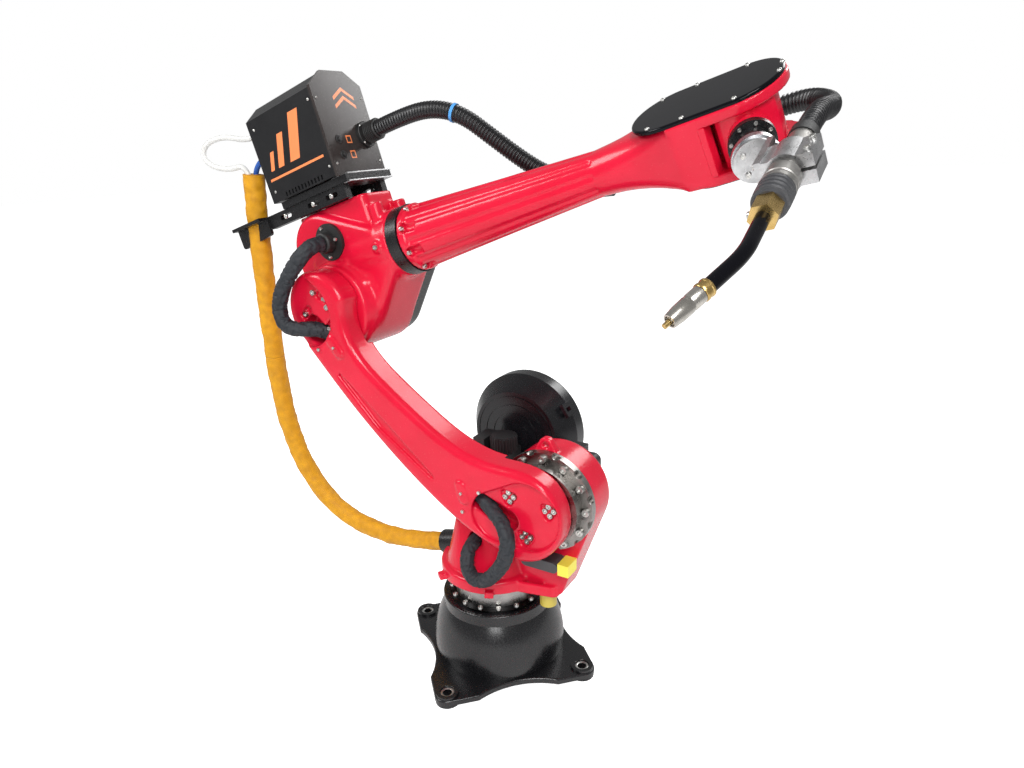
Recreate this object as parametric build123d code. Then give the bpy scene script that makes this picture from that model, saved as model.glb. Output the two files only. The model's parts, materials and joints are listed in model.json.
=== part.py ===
"""Six-axis arc-welding robot arm with a wire feeder on its elbow and a torch on its wrist.

Millimetres, +Z up, origin on the floor at the first axis. +X is the way the arm points,
-Y the side the lower arm sits on. Every body is drawn in its own joint frame and set
down in the pose of the photograph by the chain of link lengths and rest angles.
"""
import os
from math import cos, radians, sin, tan

from build123d import *

# Link lengths of the arm
SHOULDER_OFFSET = 150.0
SHOULDER_HEIGHT = 419.0
LOWER_ARM = 536.0
ELBOW_RISE = 77.0
FOREARM = 766.0

# Pose of the photograph, degrees
LOWER_LEAN = -53.3
FOREARM_PITCH = 16.0
WRIST_ROLL = 24.6
WRIST_BEND = -77.0

# Running gap between pieces that turn on each other
TURN_GAP = 0.5

# Base plate and bell
BASE_PCD = 399.0
BASE_FEET = 4
BASE_HOLE_R = 9.0
BASE_CBORE_R = 15.0
BASE_CBORE_DEPTH = 5.0
BASE_PLATE = 19.0
BASE_PAD = 5.0
BASE_PAD_R = 23.0
BASE_LOBE_R = 26.0
BASE_WAIST_R = 170.0
BASE_WAIST_DEPTH = 21.0
BELL_TOP = 156.0
BELL_TOP_R = 114.0
BELL_FOOT_R = 138.0
BELL_NECK = 24.0
BELL_BULGE = 10.0
BASE_RELIEF = 7.0
BASE_EDGE = 4.0

# First axis reducer
J1_RING_R = 87.0
J1_RING_H = 52.0
J1_STEP_R = 101.0
J1_STEP_H = 5.0

# Turret
SKIRT_R = 113.0
SKIRT_H = 28.0
SKIRT_EDGE = 8.0
HUB_BACK = -64.0
HUB_FRONT = 62.0
HUB_NEAR = -62.0
HUB_FAR = 90.0
HUB_TOP = 330.0
EAR_R = 94.0
EAR_NEAR = -45.0
EAR_FAR = 26.0
EYE_R = 14.0
EYE_BORE_R = 6.0
EYE_T = 14.0
LUG_REACH = 13.0
LUG_W = 18.0
LUG_H = 14.0
APRON_H = 24.0
APRON_NEAR = -40.0
APRON_FAR = 28.0
APRON_FRONT = 156.0
APRON_CORNER_R = 14.0
APRON_RIM = 8.0
APRON_POCKET = 10.0

# Stop pin under the apron
PIN_R = 17.0
PIN_L = 36.0

# First axis motor
MOTOR_X = -14.0
MOTOR_Y = 45.0
MOTOR_W = 78.0
MOTOR_H = 112.0
MOTOR_CAP_R = 26.0
MOTOR_CAP_H = 34.0

# Second axis motor
J2_MOTOR_W = 82.0
J2_MOTOR_L = 72.0
J2_MOTOR_FLANGE = 12.0

# Second axis reducer
J2_FLANGE_R = 96.0
J2_FLANGE_T = 15.0
J2_DRUM_R = 78.0
J2_DRUM_T = 24.0
J2_BOLTS = 12
J2_SCALLOP_R = 9.0

# Lower arm, measured across, through and along
ARM_NEAR = -130.0
ARM_FAR = -68.0
ARM_J2_R = 76.0
ARM_J3_R = 74.0
ARM_RIM = 11.0
ARM_EDGE = 14.0
ARM_BACK_EDGE = 8.0
POCKET_DEPTH = 9.0
HOLLOW_WALL = 5.0
DISC_BOLT_R = 46.0
DISC_RECESS = 8.0
FLUTE_W = 22.0
FLUTE_DEPTH = 8.0
PAD_W = 20.0
PAD_T = 4.0

# Elbow
BOSS_R = 79.0
BOSS_STEP_R = 84.0
BOSS_STEP = 12.0
ELBOW_HALF = 57.0
BARREL_R = 62.0
BARREL_BACK = -50.0
ELBOW_SEAT = 176.0
ELBOW_EDGE = 13.0
NECK_R = 61.0
COLLAR_START = 152.0
COLLAR_T = 25.0
COLLAR_R = 60.0
REAR_COVER_T = 40.0
GLAND_R = 33.0
GLAND_T = 7.0
BOOT_R = 19.0
BOOT_L = 20.0

# Forearm and its forked wrist end
FORE_ROOT_R = 58.0
FORE_FLANGE_T = 14.0
FORE_WAIST_R = 33.0
FLUTES = 10
FLUTE_CUT_R = 9.0
FLANGE_SCREWS = 8
FLANGE_SCALLOP_R = 8.5
FORK_R = 61.0
FORK_HALF = 47.0
FORK_PLATE = 14.0
FORK_THROAT = 45.0
COVER_T = 5.0
COVER_RUN = 87.0
COVER_INSET = 2.5
LOWER_COVER_RUN = 44.0
LOWER_COVER_INSET = 9.0

# Wrist
WRIST_R = 43.5
J6_NECK_R = 28.0
J6_RING_R = 29.5
J6_RING_START = 72.0
J6_RING_T = 10.0

# Tool flange and torch, along the last axis
SPACER_R = 22.0
FLANGE_R = 28.0
FLANGE_T = 10.0
FLANGE_FACE = 127.0
BRACKET_T = 8.0
LEG_START = 12.0
TORCH_TILT = 20.5
TORCH_SIDE = 51.5
TORCH_R = 16.0
TORCH_L = 138.0
CLAMP_R = 23.0
CLAMP_L = 40.0
CLAMP_START = 34.0
CLAMP_LUG = 33.0
CLAMP_SLIT = 4.0
NUT_R = 17.0
NUT_L = 24.0
NECK_TUBE_R = 8.5
NECK_RUN = 53.0
NECK_LEAD = 64.0
NECK_BEND = 24.0
NECK_BEND_R = 90.0
RING_R = 10.5
RING_L = 12.0
NOZZLE_R = 9.5
NOZZLE_L = 44.0
TIP_R = 3.0
TIP_L = 8.0

# Wire feeder on the elbow
FEEDER_L = 182.0
FEEDER_W = 127.0
FEEDER_H = 164.0
FEEDER_FRONT = 103.0
FEEDER_NEAR = -70.0
FEEDER_FLOOR = 221.0
FEEDER_SLOPE_W = 35.0
FEEDER_SLOPE_H = 24.0
PANEL_T = 6.0
PANEL_LIP = 2.0
RAIL_W = 14.0
RAIL_H = 24.0
RAIL_NEAR = -58.0
RAIL_GAP = 84.0
PLATE_T = 12.0

# Wire drum on the turret
DRUM_R = 123.0
DRUM_FACE_R = 95.0
DRUM_T = 76.0
DRUM_LID_T = 40.0
DRUM_X = -4.0
DRUM_Y = 102.0
DRUM_Z = 459.0
STAY_T = 6.0

# Conduit routes, floor frame: from the mouth behind the feeder to the lower arm, then to the turret
CONDUIT_HIGH = [(-480, -50, 975), (-490, -50, 880), (-504, -49, 750), (-518, -44, 612)]
CONDUIT_END = (-128, 0, 229)
CONDUIT_LOW = [(-518.1, -44, 611.5), (-528, -40, 490), (-504, -28, 345), (-440, -16, 248), (-342, -8, 208),
               (-228, -3, 205), CONDUIT_END]

# Sleeve routes: lower one in the floor frame, upper one in the elbow frame
SLEEVE_LOW = [(43, -104, 430), (90, -128, 413), (125, -150, 398), (130, -156, 365), (113, -150, 322),
              (67, -137, 267), (26, -126, 253), (4, -112, 278), (0, -86, 304), (0, -50, 304)]
SLEEVE_HIGH = [(22, -84.3, 116), (22, -113, 116), (2, -132, 98), (-30, -140, 76), (-58, -145, 52),
               (-77, -147, 24), (-74, -147, -6), (-50, -140, -18), (-24, -118, -26), (-11, -104.4, -40),
               (-2, -103.8, -57)]

# Hose routes: feeder to forearm in the elbow frame, the rest in the forearm frame
HOSE_FEEDER = [(141.3, 29, 277), (196, 29, 277), (262, 30, 269), (313, 36, 242), (352, 46, 193),
               (390, 54, 146), (430, 58, 106), (470, 58.5, 84)]
HOSE_FOREARM = [(470.4, 56, -18.2), (500, 49.6, -33.1), (548, 47.5, -42), (600, 55, -43), (645, 70, -39)]
HOSE_WRIST = [(645.4, 70.1, -39), (700, 88.3, -34.2), (775, 99, -31), (824, 90, -30), (838, 74, -29.5)]
HOSE_TORCH = [(838.3, 73.7, -29.5), (856, 53.4, -28.9), (862, 8, -22), (855.1, -39.6, 0), (847.4, -98.3, 0)]

# Tubes between the feeder and the mouth of the conduit, elbow frame
GAS_TUBE = [(-107.3, -30, 345), (-134, -30, 345), (-176, -44, 368), (-222, -55, 370), (-243, -58, 350),
            (-222, -57, 324), (-178, -55, 306), (-132, -54, 302), (-136.5, -53, 264)]
WIRE_TUBE = [(-136.5, -42, 264), (-129, -42, 300), (-79.3, -42, 300)]

# Small seat between a cord and what it enters
SEAT_GAP = 0.3

# Cord sizes
CONDUIT_R = 21.0
SLEEVE_R = 14.0
HOSE_R = 14.0
TUBE_R = 5.0

LOW = (Align.CENTER, Align.CENTER, Align.MIN)

# Rest chain: where each joint lies and which way it points
lean = radians(LOWER_LEAN)
pitch = radians(FOREARM_PITCH)
roll = radians(90.0 + WRIST_ROLL)
bend = radians(WRIST_BEND)
across = Vector(cos(lean), 0, -sin(lean))
along = Vector(sin(lean), 0, cos(lean))
fore = Vector(cos(pitch), 0, sin(pitch))
rise = Vector(-sin(pitch), 0, cos(pitch))
wrist_axis = Vector(0, 1, 0) * cos(roll) + rise * sin(roll)
wrist_side = wrist_axis.cross(fore)
tool_axis = fore * cos(bend) + wrist_side * sin(bend)
shoulder = Vector(SHOULDER_OFFSET, 0, SHOULDER_HEIGHT)
elbow = shoulder + along * LOWER_ARM
fore_root = elbow + rise * ELBOW_RISE
wrist = fore_root + fore * FOREARM
LOWER_FRAME = Plane(origin=shoulder, x_dir=across, z_dir=along).location
ELBOW_FRAME = Plane(origin=elbow, x_dir=fore, z_dir=rise).location
FORE_FRAME = Plane(origin=fore_root, x_dir=fore, z_dir=wrist_axis).location
WRIST_FRAME = Plane(origin=wrist, x_dir=tool_axis, z_dir=wrist_axis).location

# Seats that several pieces share
ring_top = BELL_TOP + J1_RING_H
skirt_low = ring_top + TURN_GAP
skirt_top = skirt_low + SKIRT_H
pad_top = BASE_PLATE + BASE_PAD
j2_flange_face = EAR_NEAR - J2_FLANGE_T
j2_drum_face = j2_flange_face - J2_DRUM_T
arm_seat = j2_drum_face - TURN_GAP
boss_face = arm_seat + TURN_GAP
pocket_floor = ARM_NEAR + POCKET_DEPTH
hollow_floor = arm_seat - HOLLOW_WALL
fore_start = COLLAR_START + COLLAR_T + TURN_GAP
fork_inner = FORK_HALF - FORK_PLATE
feeder_back = FEEDER_FRONT - FEEDER_L
feeder_far = FEEDER_NEAR + FEEDER_W
rail_top = ELBOW_SEAT + RAIL_H
rail_far = RAIL_NEAR + RAIL_W + RAIL_GAP
ring_end = J6_RING_START + J6_RING_T

PIECES = {}


def rod(start, axis, radius, length):
    """Cylinder from a start point along an axis."""
    return Plane(origin=start, z_dir=axis) * Cylinder(radius, length, align=LOW)


def block(x0, x1, y0, y1, z0, z1):
    """Box between two corners."""
    return Pos((x0 + x1) / 2, (y0 + y1) / 2, (z0 + z1) / 2) * Box(x1 - x0, y1 - y0, z1 - z0)


def through(face, y0, y1):
    """Outline drawn in X and Z, run through from y0 to y1."""
    return Pos(0, y1, 0) * extrude(Plane.XZ * face, amount=y1 - y0)


def disc(x, y, radius):
    """Circle of an outline."""
    return Pos(x, y) * Circle(radius)


def hull(*circles):
    """Outline stretched round circles given as centre and radius."""
    rims = Sketch() + [disc(*c) for c in circles]
    return make_hull(rims.edges())


def section(x):
    """Plane across the X axis at a distance along it."""
    return Plane(origin=(x, 0, 0), x_dir=(0, 1, 0), z_dir=(1, 0, 0))


def around(count, radius, start=0.0):
    """Points evenly round a circle."""
    turns = [radians(start + 360.0 * k / count) for k in range(count)]
    return [(radius * cos(t), radius * sin(t)) for t in turns]


def cord(points, radius):
    """Round cord through a route of straight runs joined by tangent arcs."""
    runs = [Vector(*b) - Vector(*a) for a, b in zip(points, points[1:])]
    turns = [radians(a.get_angle(b)) / 2.0 for a, b in zip(runs, runs[1:])]
    radii = [0.45 * min(a.length, b.length) / tan(t) for a, b, t in zip(runs, runs[1:], turns)]
    line = FilletPolyline(*points, radius=radii)
    return sweep(Plane(origin=line @ 0, z_dir=line % 0) * Circle(radius), path=line)


def keep(name, shape, frame=None):
    """File one finished piece under its name."""
    PIECES[name] = shape if frame is None else frame * shape


# Base: lobed plate with raised bolt pads and the bell that carries the first axis
def base_casting():
    reach = BASE_PCD / 2.0
    feet = around(BASE_FEET, reach)
    plan = hull(*[(x, y, BASE_LOBE_R) for x, y in feet])
    waist = reach / 2.0 ** 0.5 + BASE_LOBE_R - BASE_WAIST_DEPTH + BASE_WAIST_R
    for x, y in around(BASE_FEET, waist, 45.0):
        plan -= disc(x, y, BASE_WAIST_R)
    body = Pos(0, 0, BASE_RELIEF) * extrude(plan, amount=BASE_PLATE - BASE_RELIEF)
    body = fillet(body.edges().group_by(Axis.Z)[-1], BASE_EDGE)
    for x, y in feet:
        body += Pos(x, y, 0) * Cylinder(BASE_LOBE_R - 1.0, BASE_PLATE - BASE_EDGE, align=LOW)
    neck = BELL_TOP - BELL_NECK
    middle = ((BELL_TOP_R + BELL_FOOT_R) / 2.0 + BELL_BULGE, (neck + BASE_PLATE) / 2.0)
    side = ThreePointArc((BELL_TOP_R, neck), middle, (BELL_FOOT_R, BASE_PLATE / 2.0))
    floor = (0, BASE_PLATE / 2.0)
    rest = Polyline(side @ 1, floor, (0, BELL_TOP), (BELL_TOP_R, BELL_TOP), side @ 0)
    bell = revolve(Plane.XZ * make_face([side, rest]), axis=Axis.Z)
    bell = fillet(bell.edges().group_by(Axis.Z)[-1], 3.0)
    body += bell
    for x, y in feet:
        body += Pos(x, y, 0) * Cylinder(BASE_PAD_R, pad_top, align=LOW)
    for x, y in feet:
        body -= Pos(x, y, 0) * Cylinder(BASE_HOLE_R, pad_top, align=LOW)
        body -= Pos(x, y, pad_top - BASE_CBORE_DEPTH) * Cylinder(BASE_CBORE_R, BASE_CBORE_DEPTH, align=LOW)
    return body


keep("base_casting", base_casting())
ring = Pos(0, 0, BELL_TOP) * Cylinder(J1_RING_R, J1_RING_H, align=LOW)
ring += Pos(0, 0, BELL_TOP) * Cylinder(J1_STEP_R, J1_STEP_H, align=LOW)
keep("j1_reducer_ring", ring)


# Turret: skirt with stop lugs, hub, forward apron and the upright ear of the second axis
def turret_casting():
    skirt = Pos(0, 0, skirt_low) * Cylinder(SKIRT_R, SKIRT_H, align=LOW)
    skirt = fillet(skirt.edges().group_by(Axis.Z)[-1], SKIRT_EDGE)
    hub_x = (HUB_BACK + HUB_FRONT) / 2.0
    hub_y = (HUB_NEAR + HUB_FAR) / 2.0
    hub_head = RectangleRounded(HUB_FRONT - HUB_BACK, HUB_FAR - HUB_NEAR, 30.0)
    hub_foot = Pos(0, 0, skirt_top - 10.0) * Circle(SKIRT_R - SKIRT_EDGE - 1.0)
    hub = loft([hub_foot, Pos(hub_x, hub_y, HUB_TOP) * hub_head])
    body = skirt + hub
    toe = (APRON_FRONT + 8.0, skirt_low + 20.0, 16.0)
    ear = hull((SHOULDER_OFFSET, SHOULDER_HEIGHT, EAR_R), (60.0, skirt_low + 40.0, 34.0), toe)
    ear = through(ear, EAR_NEAR, EAR_FAR)
    body += fillet(ear.edges().group_by(Axis.Y)[-1], 10.0)
    corners = [(APRON_FRONT, y, APRON_CORNER_R) for y in (APRON_NEAR, APRON_FAR)]
    apron = hull((0.0, 0.0, SKIRT_R - 29.0), *corners)
    rim = offset(apron, -APRON_RIM)
    apron = Pos(0, 0, skirt_low) * extrude(apron, amount=APRON_H)
    apron -= Pos(0, 0, skirt_low + APRON_H - APRON_POCKET) * extrude(rim, amount=APRON_POCKET)
    body += apron
    for turn in (234.5, 295.5):
        lug = block(SKIRT_R - 10.0, SKIRT_R + LUG_REACH, -LUG_W / 2, LUG_W / 2, skirt_low, skirt_low + LUG_H)
        body += Rot(0, 0, turn) * lug
    eye_x = SHOULDER_OFFSET - 4.0
    eye_z = SHOULDER_HEIGHT + EAR_R + 10.0
    eye = hull((eye_x, eye_z, EYE_R), (eye_x, eye_z - 26.0, EYE_R + 12.0))
    eye = through(eye, EAR_NEAR + 2.0, EAR_NEAR + 2.0 + EYE_T)
    body += eye
    body -= rod((eye_x, EAR_NEAR, eye_z), (0, 1, 0), EYE_BORE_R, EYE_T + 4.0)
    body -= rod(Vector(*SLEEVE_LOW[-1]) + Vector(0, SEAT_GAP, 0), (0, -1, 0), SLEEVE_R + 2.0, 60.0)
    return body


keep("turret_casting", turret_casting())


# Second axis reducer: bolted flange with scallops between the bolts, and its drum
def j2_reducer():
    start = (SHOULDER_OFFSET, EAR_NEAR, SHOULDER_HEIGHT)
    body = rod(start, (0, -1, 0), J2_FLANGE_R, J2_FLANGE_T)
    step = 180.0 / J2_BOLTS
    for x, z in around(J2_BOLTS, J2_FLANGE_R + 3.0, step):
        body -= rod((SHOULDER_OFFSET + x, j2_flange_face, SHOULDER_HEIGHT + z), (0, 1, 0), J2_SCALLOP_R, 9.0)
    body += rod((SHOULDER_OFFSET, j2_flange_face, SHOULDER_HEIGHT), (0, -1, 0), J2_DRUM_R, J2_DRUM_T)
    return body


keep("j2_reducer_ring", j2_reducer())

# Motors of the first two axes
motor_root = Vector(SHOULDER_OFFSET, EAR_FAR, SHOULDER_HEIGHT)
motor = rod(motor_root, (0, 1, 0), 52.0, J2_MOTOR_FLANGE)
half = J2_MOTOR_W / 2
square = Pos(motor_root) * block(-half, half, J2_MOTOR_FLANGE, J2_MOTOR_L, -half, half)
motor += fillet(square.edges().filter_by(Axis.Y), 14.0)
motor += rod(motor_root + Vector(0, J2_MOTOR_L, 0), (0, 1, 0), 0.45 * J2_MOTOR_W, 12.0)
motor += Pos(motor_root) * block(-18, 18, J2_MOTOR_L - 40, J2_MOTOR_L - 8, half, half + 20)
keep("j2_motor", motor)
motor = Pos(MOTOR_X, MOTOR_Y, HUB_TOP) * Box(MOTOR_W + 6, MOTOR_W + 8, 10, align=LOW)
square = Pos(MOTOR_X, MOTOR_Y, HUB_TOP + 10) * Box(MOTOR_W, MOTOR_W, MOTOR_H, align=LOW)
motor += fillet(square.edges().filter_by(Axis.Z), 12.0)
motor_top = HUB_TOP + 10 + MOTOR_H
cap_x = MOTOR_X + 18
motor += Pos(cap_x, MOTOR_Y, motor_top) * Cylinder(MOTOR_CAP_R, MOTOR_CAP_H, align=LOW)
motor += block(MOTOR_X - 38, MOTOR_X - 12, MOTOR_Y - 26, MOTOR_Y + 26, motor_top, motor_top + 28)
for x, y in around(20, MOTOR_CAP_R):
    motor -= Pos(cap_x + x, MOTOR_Y + y, motor_top + 4) * Cylinder(1.8, MOTOR_CAP_H - 4, align=LOW)
keep("j1_motor", motor)

# Wire drum on its stay behind the turret
drum = rod((DRUM_X, DRUM_Y + DRUM_LID_T, DRUM_Z), (0, 1, 0), DRUM_R, DRUM_T - DRUM_LID_T)
keep("wire_drum", fillet(drum.edges().group_by(Axis.Y)[-1], 8.0))
lid_start = Plane(origin=(DRUM_X, DRUM_Y, DRUM_Z), z_dir=(0, 1, 0))
lid = loft([lid_start * Circle(DRUM_FACE_R), lid_start.offset(DRUM_LID_T) * Circle(DRUM_R)])
for r in (34.0, 52.0, 70.0, 88.0):
    groove = rod((DRUM_X, DRUM_Y, DRUM_Z), (0, 1, 0), r, 1.6)
    groove -= rod((DRUM_X, DRUM_Y, DRUM_Z), (0, 1, 0), r - 2.2, 1.6)
    lid -= groove
keep("drum_lid", lid)
clasp_at = Rot(0, -32, 0)
clasp = block(DRUM_R, DRUM_R + 7, DRUM_Y + 12, DRUM_Y + 40, -14, 14)
clasp -= block(DRUM_R - 3, DRUM_R + 7, DRUM_Y + 18, DRUM_Y + 34, -4, 4)
keep("drum_clasp", Pos(DRUM_X, 0, DRUM_Z) * (clasp_at * clasp) - PIECES["wire_drum"] - PIECES["drum_lid"])
stay_back = DRUM_Y + DRUM_T
stay_foot = skirt_low + 8.0
stay = block(DRUM_X - 26, DRUM_X + 26, stay_back, stay_back + STAY_T, stay_foot, DRUM_Z + 30)
stay += block(DRUM_X - 26, DRUM_X + 26, SKIRT_R - 20, stay_back + STAY_T, stay_foot, stay_foot + STAY_T)
keep("drum_stay", stay - PIECES["turret_casting"])

# Hard stops: yellow buffer under the apron, and the second axis stop with its yellow block
keep("j1_stop_pin", Pos(137, -25, skirt_low - PIN_L) * Cylinder(PIN_R, PIN_L, align=LOW))
stop_z = SHOULDER_HEIGHT - 122.0
stop_y = j2_flange_face - 20.0
stop = hull((SHOULDER_OFFSET - 30, stop_z, 11.0), (SHOULDER_OFFSET + 26, stop_z, 11.0))
keep("j2_stop_arm", through(stop, stop_y, EAR_NEAR))
stop_x = SHOULDER_OFFSET + 37.0
keep("j2_stop_block", block(stop_x, stop_x + 22, stop_y, EAR_NEAR, stop_z - 12, stop_z + 12))
clamp_at = Vector(*CONDUIT_END)
clamp_way = clamp_at - Vector(*CONDUIT_LOW[-2])
clamp_body = rod(clamp_at + clamp_way.normalized() * SEAT_GAP, clamp_way, CONDUIT_R + 5, 70)
keep("conduit_clamp", clamp_body - PIECES["turret_casting"])


# Lower arm: bowed casting, open pocket at each end, hollow behind the pockets, flute on its side
def lower_arm_casting():
    top = LOWER_ARM
    left = Spline((-76, top + 12), (-90, 483), (-105, 408), (-120, 299), (-127, 180), (-121, 69), (-84, -47))
    edge = [(75, 12), (62, 56), (24, 114), (4, 160), (-11, 262), (-13, 340), (-2, 438), (62, top - 34)]
    right = Spline(*edge)
    foot = ThreePointArc(left @ 1, (-16, -ARM_J2_R), right @ 0)
    head = ThreePointArc(right @ 1, (4, LOWER_ARM + ARM_J3_R + 4), left @ 0)
    body = through(make_face([left, foot, right, head]), ARM_NEAR, ARM_FAR)
    body = fillet(body.edges().group_by(Axis.Y)[0], ARM_EDGE)
    body = fillet(body.edges().group_by(Axis.Y)[-1], ARM_BACK_EDGE)
    for z, r in ((0.0, J2_FLANGE_R + 10.0), (LOWER_ARM, BOSS_STEP_R + 10.0)):
        body -= rod((0, arm_seat, z), (0, 1, 0), r, ARM_FAR - arm_seat + 1.0)
    body -= through(hull((0, 0, ARM_J2_R - ARM_RIM), (-50, 42, 49)), ARM_NEAR, pocket_floor)
    body -= through(hull((-22, LOWER_ARM + 24, 62), (-46, LOWER_ARM + 110, 84)), ARM_NEAR, pocket_floor)
    body -= through(hull((-56, 94, 18.5), (-38, 20, 20)), pocket_floor, hollow_floor)
    body -= through(hull((-36, LOWER_ARM - 44, 20), (-38, LOWER_ARM, 25)), pocket_floor, hollow_floor)
    groove = hull((-70, 440, 3.0), (-84, 320, FLUTE_W / 2), (-88, 180, 4.0))
    body -= through(groove, ARM_NEAR, ARM_NEAR + FLUTE_DEPTH)
    for z, radius, turn in ((0.0, DISC_BOLT_R, 90.0), (LOWER_ARM, 0.76 * DISC_BOLT_R, 18.0)):
        for k in range(3):
            way = radians(turn + 120.0 * k)
            x = radius * cos(way)
            y = radius * sin(way)
            corners = [(x + 11.0 * cos(way + t), y + z + 11.0 * sin(way + t), 7.0) for t in (0.0, 2.1, 4.2)]
            body -= through(hull(*corners), pocket_floor, pocket_floor + DISC_RECESS)
    for x, z, turn in ((-60, 116, -52), (-27, 473, -76)):
        plate = through(hull((-13, 0, PAD_W / 2), (13, 0, PAD_W / 2)), -PAD_T, 4.0)
        body += Pos(x, ARM_NEAR, z) * (Rot(0, turn, 0) * plate)
    return body


keep("lower_arm_casting", lower_arm_casting(), LOWER_FRAME)


# Elbow: boss of the third axis, housing of the fourth, and the seat of the feeder
def elbow_casting():
    shape = hull((0, 0, 84), (84, 62, 66), (-16, 106, 69))
    body = through(shape, -ELBOW_HALF, ELBOW_HALF)
    body = fillet(body.edges().group_by(Axis.Y)[0], ELBOW_EDGE)
    barrel = rod((BARREL_BACK, 0, ELBOW_RISE), (1, 0, 0), BARREL_R, COLLAR_START - BARREL_BACK)
    body += fillet(barrel.edges().group_by(Axis.X)[0], 20.0)
    body -= block(BARREL_BACK, COLLAR_START, ELBOW_HALF, 2 * BARREL_R, 0, 2 * BARREL_R)
    body += rod((0, -ELBOW_HALF + 20, 0), (0, -1, 0), BOSS_STEP_R, BOSS_STEP + 20)
    body += rod((0, -ELBOW_HALF, 0), (0, -1, 0), BOSS_R, -boss_face - ELBOW_HALF)
    for turn in (20.0, 60.0):
        way = radians(turn)
        body += rod((BOSS_STEP_R * cos(way), -ELBOW_HALF + 6, BOSS_STEP_R * sin(way)), (0, -1, 0), 9, 14)
    seat = block(-60, 118, -44, 44, 120, ELBOW_SEAT)
    body += fillet(seat.edges().filter_by(Axis.Z), 16.0)
    for y in (-1, 1):
        body += rod((130, y * 32, 110), (0, 0, 1), 13, 44)
    body += rod((131, -40, 80), (0, -1, 0), 10, 26)
    body += through(hull((48, 2, 13), (66, 22, 11)), -ELBOW_HALF - 5, -ELBOW_HALF + 10)
    return body


keep("elbow_casting", elbow_casting(), ELBOW_FRAME)
cover = through(hull((0, 0, 78), (80, 60, 62), (-18, 104, 66)), ELBOW_HALF, ELBOW_HALF + REAR_COVER_T)
keep("elbow_rear_cover", fillet(cover.edges().group_by(Axis.Y)[-1], 16.0), ELBOW_FRAME)
gland = rod((22, -ELBOW_HALF, 116), (0, -1, 0), GLAND_R, GLAND_T)
gland += rod((22, -ELBOW_HALF - GLAND_T, 116), (0, -1, 0), BOOT_R, BOOT_L)
gland = fillet(gland.edges().group_by(Axis.Y)[0], 5.0)
keep("sleeve_gland", ELBOW_FRAME * gland - PIECES["elbow_casting"])
keep("forearm_collar", rod((COLLAR_START, 0, ELBOW_RISE), (1, 0, 0), COLLAR_R, COLLAR_T), ELBOW_FRAME)

# Feeder: two rails across the seat, a bright plate, the case and its front panel
rail = block(-120, 96, 0, RAIL_W, ELBOW_SEAT, rail_top)
slot_z = ELBOW_SEAT + RAIL_H / 2
for x in (-70, 10, 60):
    rail -= through(hull((x - 12, slot_z, 4), (x + 12, slot_z, 4)), 0, RAIL_W)
keep("feeder_rail_near", Pos(0, RAIL_NEAR, 0) * rail, ELBOW_FRAME)
keep("feeder_rail_far", Pos(0, rail_far, 0) * rail, ELBOW_FRAME)
feeder_low = FEEDER_FLOOR - PLATE_T + 3
plate = block(-66, 112, RAIL_NEAR - 4, rail_far + RAIL_W + 4, rail_top, feeder_low)
keep("feeder_plate", plate, ELBOW_FRAME)


def feeder_outline(inset):
    """Six-sided end view of the feeder, sloped at both upper corners."""
    near = FEEDER_NEAR + inset
    far = feeder_far - inset
    floor = feeder_low + inset
    roof = FEEDER_FLOOR + FEEDER_H - inset
    slope = roof - FEEDER_SLOPE_H
    right = [(far, floor), (far, slope), (far - FEEDER_SLOPE_W, roof)]
    left = [(near + FEEDER_SLOPE_W, roof), (near, slope), (near, floor)]
    return make_face(Polyline(*right, *left, close=True))


panel_back = FEEDER_FRONT - PANEL_T
end_view = section(panel_back)
case = extrude(end_view * feeder_outline(PANEL_LIP), amount=-(FEEDER_L - PANEL_T))
for k in range(12):
    vent = feeder_back + 40 + 9 * k
    case -= block(vent, vent + 4, FEEDER_NEAR, FEEDER_NEAR + 6, FEEDER_FLOOR - 4, FEEDER_FLOOR + 4)
keep("feeder_case", case, ELBOW_FRAME)
keep("feeder_panel", extrude(end_view * feeder_outline(0.0), amount=PANEL_T), ELBOW_FRAME)
hose_y = 29.0
hose_z = 277.0
fitting = rod((FEEDER_FRONT, hose_y, hose_z), (1, 0, 0), 22, 8)
fitting += rod((FEEDER_FRONT + 8, hose_y, hose_z), (1, 0, 0), 18, 30)
keep("hose_fitting", fitting, ELBOW_FRAME)
tail = rod((feeder_back, -30, 345), (-1, 0, 0), 8, 14)
tail += rod((feeder_back - 14, -30, 345), (-1, 0, 0), 6.5, 14)
keep("gas_fitting", tail, ELBOW_FRAME)
bracket = hull((-206, 196, 6), (-206, 166, 6), (-124, 172, 6), (-124, 194, 6))
bracket = through(bracket, RAIL_NEAR - 6, RAIL_NEAR)
bracket += block(-206, -120, RAIL_NEAR - 24, RAIL_NEAR + 40, rail_top - 6, rail_top)
keep("conduit_bracket", ELBOW_FRAME * bracket - cord(CONDUIT_HIGH, CONDUIT_R + SEAT_GAP))


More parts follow.
